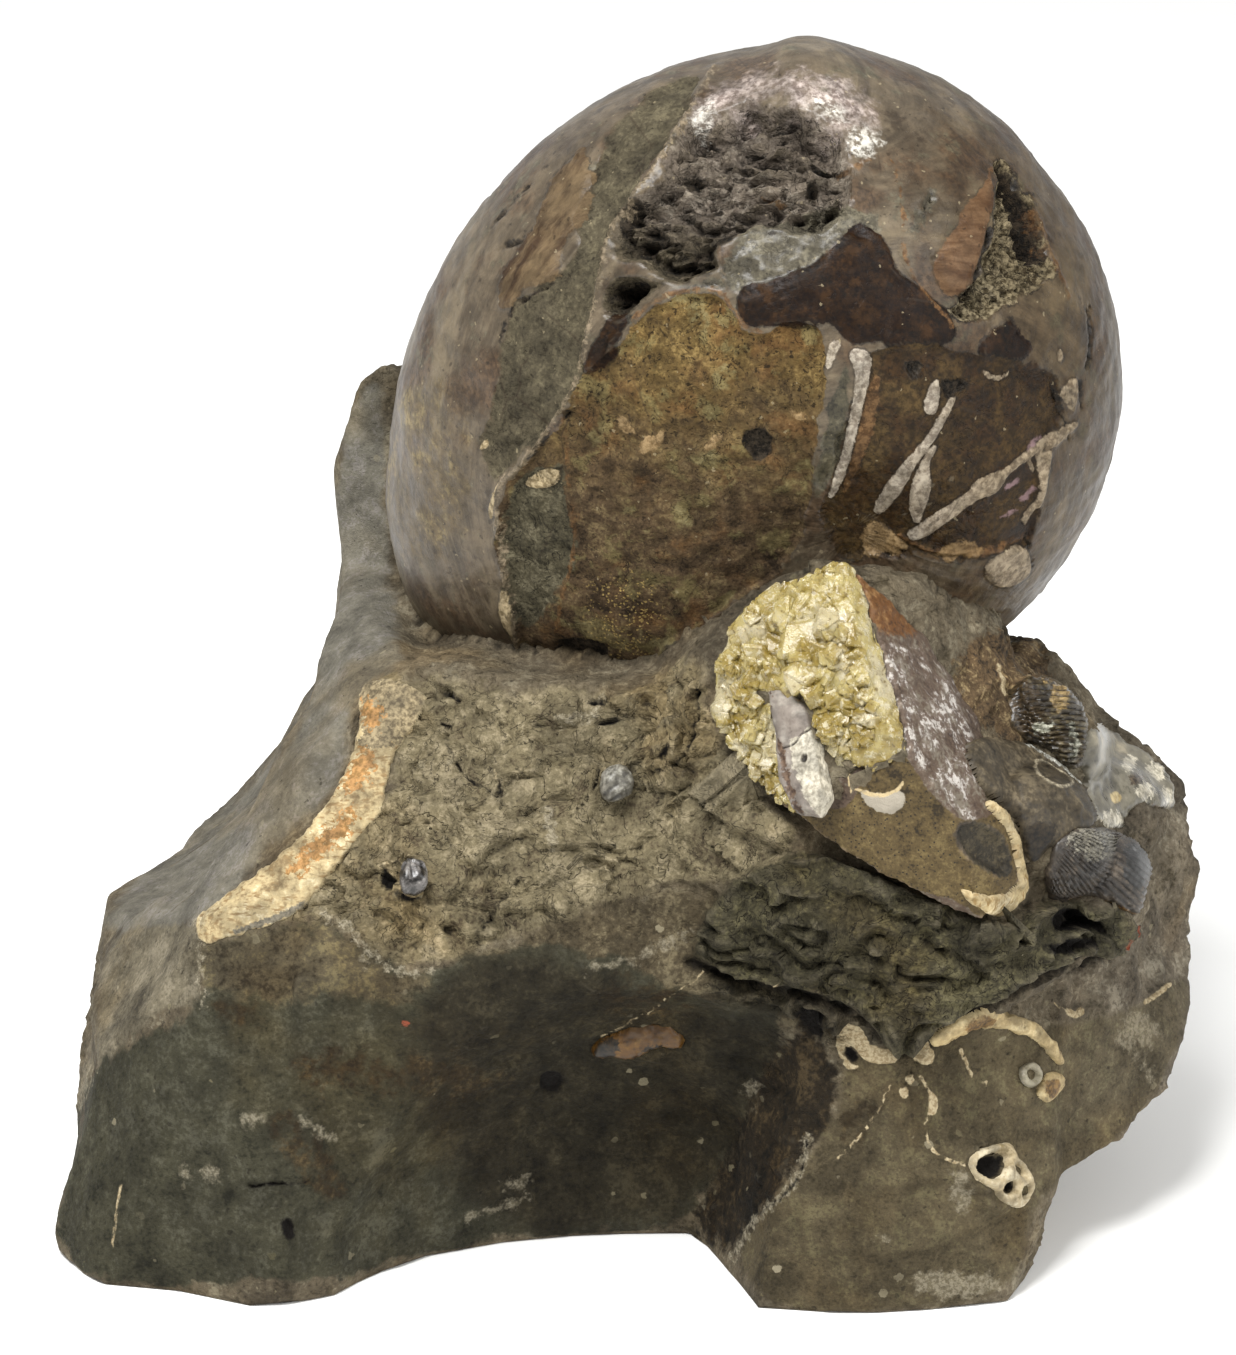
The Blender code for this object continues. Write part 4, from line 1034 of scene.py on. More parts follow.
# Small fossils laid on the stone. Outlines, holes and marks are in frame pixels, heights in mm.
shells = {
    "shellBand": {
        "node": "shell_band", "slot": "banded_shell", "seed": 31, "rise": 0.25, "dome": 0.3, "round": 0.35,
        "wander": 0.45, "relief": (0.3, 2.5), "calm": 12,
        "outline": [
            "358,692 360,714 357,741 349,763 334,793 319,815 301,837 278,856 256,875 230,893 208,908"
            " 194,922 200,942 208,945 237,935 263,927 293,916 308,901 327,878 342,856 368,830 384,808"
            " 387,782 391,759 405,737 424,711 428,694 400,680 372,680",
        ],
        "marks": {
            "stoneTop": ["352,676 366,720 356,748 376,752 396,748 412,730 440,700 430,676"],
            "rust": [
                "362,745 350,770 340,790 352,796 366,782 376,760",
                "352,806 326,832 300,856 286,874 306,872 332,846 356,822",
                "362,700 366,730 378,730 384,704",
            ],
            "greyBorder": ["237,935 263,927 293,916 308,901 302,900 288,910 258,922 232,930"],
        },
        "tints": ("6f5d40", "a5946f", "c9bc9a"), "grain": 1.3,
        "streak": ((0.35, 1, 1.6), (0, 0.75, 0), "7d6745"),
        "laid": {
            "stoneTop": ("574c38", "8b7d60", 2.0), "rust": ("75582f", "a1794a", 2.2),
            "greyBorder": ("4a453a", "6f6859", 0.6),
        },
        "roughness": (0.55, 0.75),
    },
    "fragmentRim": {
        "node": "fragment_rim", "slot": "cream_shell", "seed": 32, "rise": 0.6, "dome": 0.5, "round": 0.4,
        "wander": 0.25, "relief": (0.25, 1.6), "calm": 8,
        "outline": [
            "990,799 1002,810 1011,823 1018,839 1022,857 1026,876 1027,888 1022,900 1010,912 996,918"
            " 983,911 966,900 958,888 974,893 990,897 1006,894 1017,884 1020,874 1016,858 1012,840 1005,827"
            " 997,815 987,802",
        ],
        "tints": ("6e5c39", "a2916c", "c2b392"), "grain": 1.2,
        "streak": ((1, 1, 0.5), (0, 0.6, 0), "80683f"),
    },
    "shellArc": {
        "node": "shell_arc", "slot": "cream_shell", "seed": 33, "rise": 0.7, "dome": 0.5, "round": 0.5,
        "wander": 0.35, "relief": (0.25, 1.6), "calm": 8,
        "outline": [
            "926,1042 945,1025 968,1015 992,1010 1016,1014 1036,1024 1052,1038 1062,1056 1060,1066"
            " 1052,1060 1040,1044 1022,1034 1000,1028 978,1026 956,1034 938,1046",
            "1040,1080 1052,1070 1062,1074 1060,1090 1046,1104 1036,1098",
        ],
        "marks": {
            "rust": ["955,1028 975,1014 995,1012 985,1026", "1040,1084 1052,1076 1056,1090 1044,1100"],
        },
        "tints": ("6d5a3a", "9f8c64", "c0af87"), "grain": 1.2, "laid": {"rust": ("49361e", "775c34", 0.5)},
    },
    "shellRings": {
        "node": "shell_rings", "slot": "cream_shell", "seed": 34, "rise": 0.8, "dome": 0.5, "round": 0.5,
        "wander": 0.2, "relief": (0.2, 1.4), "calm": 8, "step": 1.3,
        "outline": [
            "967,1159 976,1150 993,1145 1010,1141 1014,1153 1023,1165 1031,1174 1033,1191 1023,1205"
            " 1010,1208 999,1199 993,1189 982,1183 971,1173",
        ],
        "holes": [
            "974,1162 982,1155 996,1152 1006,1155 1004,1170 994,1180 982,1177 973,1170",
            "1001,1184 1012,1179 1015,1188 1007,1195 1001,1191", "1018,1188 1028,1184 1028,1194 1020,1199",
            "1012,1163 1020,1167 1023,1177 1014,1174",
        ],
        "tints": ("6b5d3f", "97896c", "b1a68c"), "grain": 0.9,
    },
    "smallRing": {
        "node": "small_ring", "slot": "cream_shell", "seed": 35, "rise": 0.7, "dome": 0.3, "round": 0.4,
        "wander": 0.15, "relief": (0.2, 1.2), "calm": 8, "step": 1.2,
        "outline": ["1019,1068 1030,1061 1041,1068 1042,1080 1032,1090 1021,1082"],
        "holes": ["1026,1071 1032,1068 1037,1074 1033,1081 1027,1078"],
        "tints": ("6c644f", "8b8470", "a19a8a"), "grain": 0.8,
    },
    "ribbedAmmonite": {
        "node": "ribbed_ammonite", "slot": "dark_shell", "seed": 36, "rise": 0.8, "dome": 1.6, "round": 1.6,
        "wander": 0.4, "relief": (0.35, 2.4), "calm": 40, "step": 1.3,
        "outline": [
            "1009,690 1024,680 1045,682 1066,692 1079,706 1087,728 1084,753 1076,772 1062,763 1050,751"
            " 1036,744 1020,738 1008,722",
        ],
        "ribs": {"way": (-0.12, 1), "every": 4.7, "depth": 0.3},
        "marks": {
            "tan": ["1050,688 1062,692 1062,712 1052,718 1046,704", "1036,684 1050,687 1044,694"],
            # painted highlight: pale streaks where the polished whorl catches the light
            "paintedSheen": [("1066,728 1070,745 1066,758", 3), ("1034,728 1046,726", 3)],
            "rough": ["1006,688 1026,684 1038,700 1040,722 1032,744 1008,736"],
        },
        "tints": ("17130c", "30281b", "554b34"), "grain": 0.8,
        "laid": {
            "rough": ("19140d", "443725", 1.2), "tan": ("554428", "8f794e", 0.6),
            "paintedSheen": ("4a4a3a", "9d9c8d", 1.2),
        },
        "roughness": (0.3, 0.5), "coat": 0.3,
    },
    "smoothShell": {
        "node": "smooth_shell", "slot": "dark_shell", "seed": 37, "rise": 0.7, "dome": 1.0, "round": 1.4,
        "wander": 0.4, "relief": (0.4, 2.6), "calm": 14,
        "outline": [
            "966,744 980,737 996,738 1016,741 1030,745 1046,753 1062,764 1076,778 1086,795 1093,808"
            " 1095,825 1079,831 1055,842 1042,858 1028,862 1023,842 1014,814 1001,801 986,790 973,770",
        ],
        "marks": {
            # painted highlight: a pale streak along the shell's upper edge
            "paintedSheen": [("1024,745 1045,751 1062,764 1077,781", 3.2)],
            "lens": [
                ("1029,766 1040,764 1053,771 1063,781 1069,790 1058,794 1044,790 1033,780 1029,767", 1.1),
            ],
            "deep": ["1022,826 1040,822 1056,830 1042,856 1028,860"],
        },
        "markRise": {"lens": 0.3, "paintedSheen": 0.2}, "tints": ("16110a", "3a3224", "594f3d"),
        "grain": 0.9,
        "laid": {
            "deep": ("120e09", "2c2417", 0.8), "paintedSheen": ("6d6a5f", "b9b8ae", 0.9),
            "lens": ("6d6350", "a0967f", 0.2),
        },
        "roughness": (0.5, 0.7), "coat": 0.05,
    },
    "ribbedClam": {
        "node": "ribbed_clam", "slot": "dark_shell", "seed": 38, "rise": 1.0, "dome": 1.6, "round": 1.4,
        "wander": 0.3, "relief": (0.2, 3), "calm": 40, "step": 1.3,
        "outline": [
            "1060,833 1075,828 1092,827 1112,831 1131,841 1145,858 1147,875 1142,895 1135,915 1124,911"
            " 1108,902 1088,895 1072,896 1055,907 1047,895 1044,874 1051,852",
        ],
        "ribs": {"apex": (1005, 800), "every": 0.034, "depth": 0.28},
        "marks": {
            # painted sheen: a lighter patch where the shell catches the light
            "paintedSheen": ["1062,832 1090,828 1106,840 1104,858 1084,856 1064,850"],
            "border": [("1066,897 1088,896 1108,903 1133,914", 1.6)],
            "deep": ["1118,850 1138,852 1142,872 1130,892 1112,884"],
        },
        "tints": ("1c1816", "39332c", "594f43"), "grain": 0.8,
        "laid": {
            "deep": ("20201d", "363534", 1.0), "paintedSheen": ("39362e", "817c6e", 1.4),
            "border": ("3c2814", "7b5e35", 0.25),
        },
        "roughness": (0.35, 0.55), "coat": 0.2,
    },
    "pearlPatch": {
        "node": "pearl_patch", "slot": "pearl", "seed": 39, "rise": 0.5, "dome": 0.8, "round": 1.2,
        "wander": 0.6, "relief": (0.3, 4), "calm": 14,
        "outline": [
            "1078,738 1090,724 1104,724 1120,738 1140,750 1158,762 1172,782 1176,806 1160,810 1140,802"
            " 1127,812 1121,832 1100,826 1090,804 1081,775",
        ],
        "marks": {
            "milky": [
                "1120,762 1134,758 1132,774 1120,780", "1140,770 1158,762 1166,780 1150,786",
                "1130,790 1146,786 1152,800 1136,802", "1156,792 1172,790 1172,804 1160,806",
                "1098,814 1112,812 1122,824 1110,830 1098,824",
            ],
            "cream": ["1104,796 1112,794 1118,800 1112,806 1105,804"],
            "brownGap": ["1122,782 1134,776 1146,788 1130,788", "1132,804 1160,806 1172,812 1140,812"],
        },
        "tints": ("484438", "686355", "857d6b"), "grain": 2.2,
        "laid": {
            "brownGap": ("271e14", "534634", 1.0), "milky": ("8a8473", "c0b8a4", 1.0),
            "cream": ("988459", "b7a579", 0.3),
        },
        "roughness": (0.25, 0.45), "coat": 0.4,
    },
    "orangeShell": {
        "node": "orange_shell", "slot": "orange_shell", "seed": 40, "rise": 0.4, "dome": 0.9, "round": 0.8,
        "wander": 0.4, "relief": (0.25, 2.5), "calm": 10,
        "outline": [
            "588,1052 600,1039 620,1030 648,1025 674,1028 685,1038 682,1050 658,1046 644,1055 620,1057"
            " 600,1058",
        ],
        "marks": {
            "umber": [
                "588,1052 600,1039 618,1034 622,1046 612,1058", "640,1044 668,1044 684,1050 648,1056",
            ],
        },
        "tints": ("2f1d07", "513611", "674b1d"), "grain": 1.4, "laid": {"umber": ("130e05", "2c200c", 1.2)},
        "roughness": (0.35, 0.55), "coat": 0.2,
    },
    "tinySnail": {
        "node": "tiny_snail", "slot": "pale_shell", "seed": 41, "rise": 0.6, "dome": 1.2, "round": 0.7,
        "wander": 0.2, "relief": (0.2, 1.2), "calm": 6, "step": 1.1,
        "outline": ["400,880 402,866 412,859 424,863 428,876 424,890 412,896 402,892"],
        "ribs": {"apex": (410, 868), "every": 0.9, "depth": 0.22},
        "marks": {"dark": [("408,868 418,866 420,878 410,884 404,876", 1.5)]},
        "tints": ("34322f", "635f5c", "95918a"), "grain": 0.9, "laid": {"dark": ("12100e", "2d2a26", 0.4)},
        "roughness": (0.2, 0.4), "coat": 0.4,
    },
    "whiteSnail": {
        "node": "white_snail", "slot": "pale_shell", "seed": 42, "rise": 0.6, "dome": 1.1, "round": 0.8,
        "wander": 0.3, "relief": (0.25, 1.5), "calm": 6, "step": 1.2,
        "outline": ["600,788 604,772 615,765 628,769 634,782 629,796 613,803 602,799"],
        "ribs": {"apex": (596, 806), "every": 0.34, "depth": 0.15}, "tints": ("3f3b34", "676359", "8d8a7f"),
        "grain": 1.0, "roughness": (0.35, 0.55), "coat": 0.15,
    },
}


def insideShell(spots, plan):
    inside = markBy(spots, plan["outline"])
    for hole in plan.get("holes", []):
        inside = np.minimum(inside, -insideBy(spots, hole))
    return inside


def evenOut(grid, rounds):  # a few rounds of averaging with the neighbours
    for _ in range(rounds):
        wide = np.pad(grid, 1, mode="edge")
        near = [wide[1:-1, 1:-1], wide[:-2, 1:-1], wide[2:, 1:-1], wide[1:-1, :-2], wide[1:-1, 2:]]
        known = np.sum([np.isfinite(one) for one in near], axis=0)
        total = np.sum([np.nan_to_num(one) for one in near], axis=0)
        grid = np.where(np.isfinite(grid), total / np.maximum(known, 1), grid)
    return grid


def laidShell(pieceName, plan, ground):  # a sheet over the outline, raised from the stone and thickened
    corners = np.vstack([cornersOf(outline) for outline in plan["outline"]])
    low, high = corners.min(0) - 8, corners.max(0) + 8
    count = np.ceil((high - low) / plan.get("step", 1.6)).astype(int)
    bpy.ops.object.select_all(action="DESELECT")
    bpy.ops.mesh.primitive_grid_add(x_subdivisions=int(count[0]), y_subdivisions=int(count[1]), size=2)
    piece = bpy.context.object
    piece.name = pieceName
    share = (placesOf(piece)[:, :2] / 1000 * (1, -1) + 1) / 2
    spots = low + share * (high - low)
    column, row = np.rint(share * count).astype(int).T
    ways = np.zeros((len(spots), 3))
    grid = np.full((count[1] + 1, count[0] + 1), np.nan)
    for index, spot in enumerate(spots):
        start, way = sightLine(spot)
        ways[index] = way
        hit = ground.ray_cast(start, way)
        if hit[0] is not None:
            grid[row[index], column[index]] = hit[3]
    away = evenOut(grid, plan["calm"])[row, column]
    known = np.isfinite(away)
    places = eye + ways * np.where(known, away, look["distance"])[:, None]
    movePlaces(piece, places)
    inside = insideShell(spots, plan) + rough(places, 2.2, 3, plan["seed"]) * plan["wander"]
    rounded = 1 - np.clip(inside / max(inside.max(), 0.1), 0, 1)
    height = -1.6 + (1.6 + plan["rise"] * 0.4) * ease(inside, -0.3, 0.05)
    height += plan["rise"] * 0.6 * ease(inside, 0, plan["round"])
    height += plan["dome"] * np.sqrt(1 - rounded ** 2)
    height += rough(places, plan["relief"][1], 4, plan["seed"] + 0.5) * plan["relief"][0]
    ribs = plan.get("ribs")
    if ribs:
        apart = spots - ribs.get("apex", (0, 0))
        along = np.arctan2(apart[:, 1], apart[:, 0]) if "apex" in ribs else spots @ ribs["way"]
        wave = np.cos(along / ribs["every"] * 2 * math.pi) * ease(inside, 0, 1)
        height += ribs["depth"] * wave
        storeMarks(piece, {"wave": wave})
    for name, mark in plan.get("marks", {}).items():
        found = markBy(spots, mark)
        height += plan.get("markRise", {}).get(name, 0) * ease(found, -0.1, 0.3)
        storeMarks(piece, {name: found})
    movePlaces(piece, places + normalsOf(piece) * height[:, None])
    onlySelect(piece)
    bpy.ops.object.mode_set(mode="EDIT")
    bpy.ops.mesh.select_mode(type="VERT")
    bpy.ops.mesh.select_all(action="DESELECT")
    bpy.ops.object.mode_set(mode="OBJECT")
    piece.data.vertices.foreach_set("select", (~known | (inside < -0.35)).tolist())
    bpy.ops.object.mode_set(mode="EDIT")
    bpy.ops.mesh.delete(type="VERT")
    bpy.ops.object.mode_set(mode="OBJECT")
    applyStep(piece, "SOLIDIFY", thickness=0.0012, offset=-1)
    return piece


def laidMaterial(name, plan):
    material, bench, surface = newMaterial(name, Coat_Roughness=0.25, Specular_IOR_Level=0.3)
    colour, height = bench.grained(plan["grain"], *plan["tints"])
    finer = bench.cloud(0.8, 4, 0.65)
    if "streak" in plan:
        stretch, turn, streakTint = plan["streak"]
        lines = bench.cloud(1.0, 3, 0.6, bench.stretched(stretch, turn))
        colour = bench.over(colour, streakTint, (lines, 0.5, 0.66))
        height = bench.plus(height, bench.times(lines, 0.8))
    for markName, (deep, pale, wander) in plan.get("laid", {}).items():
        over = bench.over(deep, pale, (finer, 0.36, 0.62))
        colour = bench.over(colour, over, (markName, wander, 0.2, 1.2))
    colour = bench.soiled(colour, (bench.cloud(4, 5, 0.65), 0.35, 0.65, 0.6, 1.2))
    # painted shade: darker in the troughs between the ribs
    if "ribs" in plan:
        grooveShade = ((bench.mark("wave"), 0.1, -0.9), (bench.cloud(3, 4, 0.6), 0.4, 0.6, 0.2, 0.8))
        colour = bench.over(colour, "100d0a", *grooveShade)
    # pale worn edges, and painted shade in the hollows
    edges, hollowShade = bench.group(edgeWearAndHollowShade, Start=0.53, End=0.62)
    colour = bench.layers(colour, [(plan["tints"][2], edges, 0.3), ("16120d", hollowShade, 0.6)])
    coat = plan.get("coat", 0.0)
    roughness = (height, 0.35, 0.65, *plan.get("roughness", (0.5, 0.7)))
    coating = bench.between(finer, 0.4, 0.6, coat * 0.5, coat)
    finishSurface(bench, surface, colour, roughness, height, 0.3, 0.7, coating)
    return material


# The tongue of another shell on the calcite.

tongue = {"voxel": 0.35, "smoothing": 6}
tongueMarks = {
    "lower": ["786,742 800,734 816,724 830,745 846,790 852,815 838,824 812,812 798,780"],
    "crack": [("783,748 796,744 800,734 816,727 824,724", 0.9)],
    "border": [("766,692 768,720 780,750 790,790 800,815", 3.2)],
    "pits": ["800,756 806,752 808,760 802,764", "836,757 842,756 844,770 838,768"],
}


def makeTongue():
    piece = copyOf("septumTongue", "septum_plate")
    evenMesh(piece, tongue["voxel"], tongue["smoothing"])
    places = placesOf(piece)
    spots = framePixels(places)
    depth = rough(places, 4, 3, 51) * 0.3 + rough(places, 1.3, 3, 52) * 0.07
    for name, mark in tongueMarks.items():
        found = markBy(spots, mark) - farOff * (1 - faceFront(piece))
        depth += {"crack": 0.4, "pits": 0.5, "border": 0.25}.get(name, 0) * ease(found, -0.1, 0.25)
        storeMarks(piece, {name: found})
    movePlaces(piece, places - normalsOf(piece) * depth[:, None])
    return piece


tonguePiece = makeTongue()
settle(
    tonguePiece,
    laidMaterial(
        "septumPlate",
        {
            "tints": ("524842", "776e65", "8c857b"), "grain": 1.8, "roughness": (0.5, 0.7),
            "laid": {
                "lower": ("8f8878", "bdb6a4", 1.0), "border": ("3a2a20", "64503f", 1.0),
                "pits": ("2a241d", "4a4236", 0.2), "crack": ("1d1813", "2c251e", 0.1),
            },
        },
    ),
    ["septum_plate"],
)


# The block of mudstone.

block = {
    "levels": ("ramp", "footFace", "lowFace", "facet", "shadedRecess", "brow", "shelf"),
    "voxel": 0.95,
    "smoothing": 9,
    "swell": 0.7,  # how far the fossils' copies run into the stone round them
    "tuck": 0.8,  # how deep the stone passes below each fossil's surface
    "triangles": 192000,
    "wide": ("ramp", "shelf", "lowFace", "shadedRecess", "footCornerShade", "brownStain", "darkRock"),  # with stray edges
}
blockMarks = {
    "shelf": [
        "352,700 400,668 470,688 520,692 600,692 655,682 700,645 712,716 758,790 800,830 780,870 720,882"
        " 661,886 608,905 560,925 511,934 460,960 428,970 388,966 346,926 320,914 255,930 290,905 330,850"
        " 390,790 400,740",
    ],
    "ramp": [
        "385,378 360,395 340,430 335,480 335,560 312,690 290,740 215,820 170,840 120,890 100,935 195,925"
        " 240,885 300,815 344,775 352,694 398,668 400,640 384,560",
    ],
    "facet": [
        "95,1060 98,1020 105,960 120,930 196,922 203,950 199,976 203,1008 180,1005 160,1008 147,1024"
        " 118,1047 99,1076",
    ],
    "lowFace": [
        "203,945 255,932 320,916 388,970 460,962 540,940 620,960 700,1000 790,1010 760,1090 700,1220"
        " 600,1236 490,1236 330,1282 100,1288 55,1245 75,1100 118,1050 150,1028 203,1010",
    ],
    # the recess under the shelf and brow, painted dark as its shade
    "shadedRecess": [
        "696,962 745,980 791,990 818,1000 853,1014 876,1040 838,1052 800,1018 770,1014 720,1014",
        "430,975 540,945 640,985 720,1010 800,1020 770,1080 715,1200 620,1234 500,1234 440,1160 400,1060",
    ],
    "midBrown": [
        "440,966 500,945 560,918 620,896 690,884 740,900 800,985 840,1020 800,1030 720,1016 640,992"
        " 560,962 500,962",
    ],
    "brow": [
        "690,958 745,978 791,985 818,993 853,1006 874,1027 904,1046 926,1044 942,1020 986,1000 1058,964"
        " 1104,950 1132,938 1130,912 1100,898 1040,900 1000,925 950,905 860,872 800,850 745,868 720,900"
        " 700,930",
    ],
    "shadowUnderBrow": [
        (
            "690,962 745,982 791,990 818,998 853,1012 874,1033 904,1052 926,1050 942,1027 986,1006"
            " 1024,986 1058,970 1104,956",
            5,
        ),
    ],
    "faceTop": ["190,946 255,932 320,918 346,930 388,970 436,974 400,1004 330,992 232,1000 200,984"],
    "footCornerShade": ["800,1015 836,1050 838,1110 806,1160 760,1214 732,1262 690,1226 730,1150 760,1080"],
    "footFace": [
        "846,1050 925,1048 960,1024 1040,1030 1140,1010 1185,970 1190,1010 1165,1080 1110,1150 1035,1195"
        " 1020,1270 990,1300 870,1312 775,1310 735,1262 762,1214 808,1160 838,1112",
    ],
    "cavity": [
        "1040,914 1064,905 1094,912 1104,925 1074,930 1044,932",
        "1028,944 1070,937 1096,938 1073,952 1036,950",
    ],
    "slit": [
        "791,1009 822,1010 826,1040 806,1036", "668,742 672,748 660,760 650,764",
        ("447,737 455,765 472,784 498,795", 1.4), ("493,771 501,782 502,806", 1.3),
        ("517,767 526,779", 1.2), ("519,881 503,894 490,919 477,935", 1.5),
        ("602,755 600,774 586,801 568,818", 1.4), ("651,771 672,769 686,750 696,726 697,686", 1.7),
        ("600,722 618,720", 2.2), ("1060,964 1084,966", 2), ("248,1187 310,1181", 2),
        ("445,690 458,700", 2.5), ("440,722 452,728", 2), ("590,700 606,703", 2.4),
        ("920,1058 905,1085", 1.2), ("808,1138 801,1173 787,1193 760,1214", 1.5),
    ],
    "pit": [
        "844,1049 852,1047 859,1056 856,1064 847,1062", "973,1160 1003,1154 1004,1166 995,1178 978,1178",
        "999,1183 1011,1180 1014,1189 1004,1194", "380,872 388,868 393,882 388,892 380,886",
        "396,884 404,894 416,900 424,896 418,905 402,902", "1043,1084 1052,1080 1054,1092 1046,1098",
        "1004,1052 1012,1050 1010,1058", "540,1076 556,1070 566,1082 556,1096 540,1092",
        "1018,1197 1026,1193 1023,1201", "280,1215 296,1222 296,1242 284,1240",
    ],
    "creamBit": [
        "834,1034 848,1028 864,1036 872,1048 898,1050 899,1064 872,1064 862,1058 852,1044 843,1048"
        " 848,1064 862,1066 852,1072 840,1062",
        "910,1052 922,1046 935,1049 933,1066 915,1063", "903,1076 913,1074 916,1083 908,1086",
        "898,1088 908,1086 909,1098 901,1099", "928,1043 944,1028 960,1024 950,1038 936,1047",
        "928,1090 938,1096 937,1114 928,1116", "980,1080 988,1080 987,1088",
        "1066,1006 1078,1014 1082,1004 1086,1012 1076,1020 1064,1014",
        ("920,1075 932,1097 935,1111 925,1118 925,1135 935,1156 966,1165", 1.5),
        ("960,1049 972,1077", 1.8), ("1146,1002 1158,994 1170,984", 2.4),
        ("1055,1003 1066,1012", 1.2), ("890,1086 872,1122 853,1144 838,1158", 1.4),
        ("121,1184 117,1215 112,1249", 1.3), ("700,976 672,996 640,1018 600,1038", 0.7),
        ("790,978 776,986", 1.2), ("706,970 690,984", 1.2), ("999,664 1001,680 1006,694", 1.8),
        ("978,1024 990,1034", 1.0), ("497,770 499,788", 1.8), ("603,762 598,775 596,790", 0.8),
        ("380,868 396,858 420,856", 1.2),
    ],
    "faint": [
        "908,1276 925,1270 960,1273 997,1275 1004,1286 970,1298 918,1293", "362,955 372,960 366,972",
        "240,1114 258,1112 262,1124 246,1128", "180,1168 192,1172 188,1182",
        "950,1172 968,1180 970,1212 956,1206", "878,1236 890,1236 884,1244",
        "1120,1016 1150,1010 1162,1040 1130,1050", "745,1084 757,1084 757,1094 745,1094",
        "204,1168 214,1166 216,1180 206,1184", ("505,1186 530,1180", 1.2),
        ("470,1216 500,1206 528,1200", 1.0), ("300,1120 330,1136", 2.0),
        ("1120,1040 1142,1058 1150,1080", 2.0), ("690,930 640,960 590,968", 2.0),
    ],
    "paleEdge": [
        ("808,1138 801,1173 787,1193 760,1214 743,1238 732,1259", 2.4),
        ("320,914 346,924 378,963 398,972 430,972", 2.2), ("196,920 203,950 199,976 203,1008", 1.8),
        ("603,700 585,720 560,722", 3), ("549,811 553,846", 4), ("76,1112 84,1090 90,1070", 3),
    ],
    "red": ["1114,928 1121,923 1128,932 1122,943 1115,938", "400,1022 408,1019 410,1026 402,1027"],
    "brownStain": [
        "298,1060 340,1050 380,1068 440,1058 514,1076 500,1092 440,1094 380,1090 330,1100 300,1090",
        "222,1005 258,1002 264,1020 242,1030 219,1018",
        "846,1112 868,1108 884,1092 864,1126 844,1144 834,1136",
        "270,1120 300,1110 330,1160 352,1200 320,1196 286,1160",
        "600,980 650,990 700,1000 640,1012 596,1002", "352,700 420,690 400,720 360,760",
    ],
    "darkRock": ["945,655 1010,630 1050,640 1055,690 1050,740 1000,745 960,700"],
    "shadowUnderConch": ["1045,600 1052,604 1030,632 1008,640 1002,628"],
}


def beginBlock():
    embedded = [name for name in nodes if name != "matrix"]
    piece = copyOf("mudstoneBlock", "matrix")
    onlySelect(piece, copyOf("fossilCopies", *embedded, swell=block["swell"]))
    bpy.ops.object.join()
    evenMesh(piece, block["voxel"], block["smoothing"])
    return piece


def coveredBy(places, node, piece):  # vertices of the block that lie under a fossil
    solid = treeOf(nodes[node])
    low, high = (np.array(corner) * 1000 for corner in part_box(node))
    plan = next((plan for plan in shells.values() if plan["node"] == node), None)
    near = np.nonzero(np.all((places > low - 6) & (places < high + 6), axis=1))[0]
    if plan:
        inside = insideShell(framePixels(places[near]), plan)
        tree = treeOf(piece)
        return [
            index
            for index, by in zip(near, inside)
            if by > 0.1 and tree.find_nearest(Vector(places[index]), 4)[0]
        ]
    found = []
    for index in near:
        nearest, normal, _, gap = solid.find_nearest(Vector(places[index]), 12)
        if nearest is None:
            continue
        below = (Vector(places[index]) - nearest).dot(normal) < 0
        if below or gap < block["swell"] + 0.6:
            found.append(index)
    return found


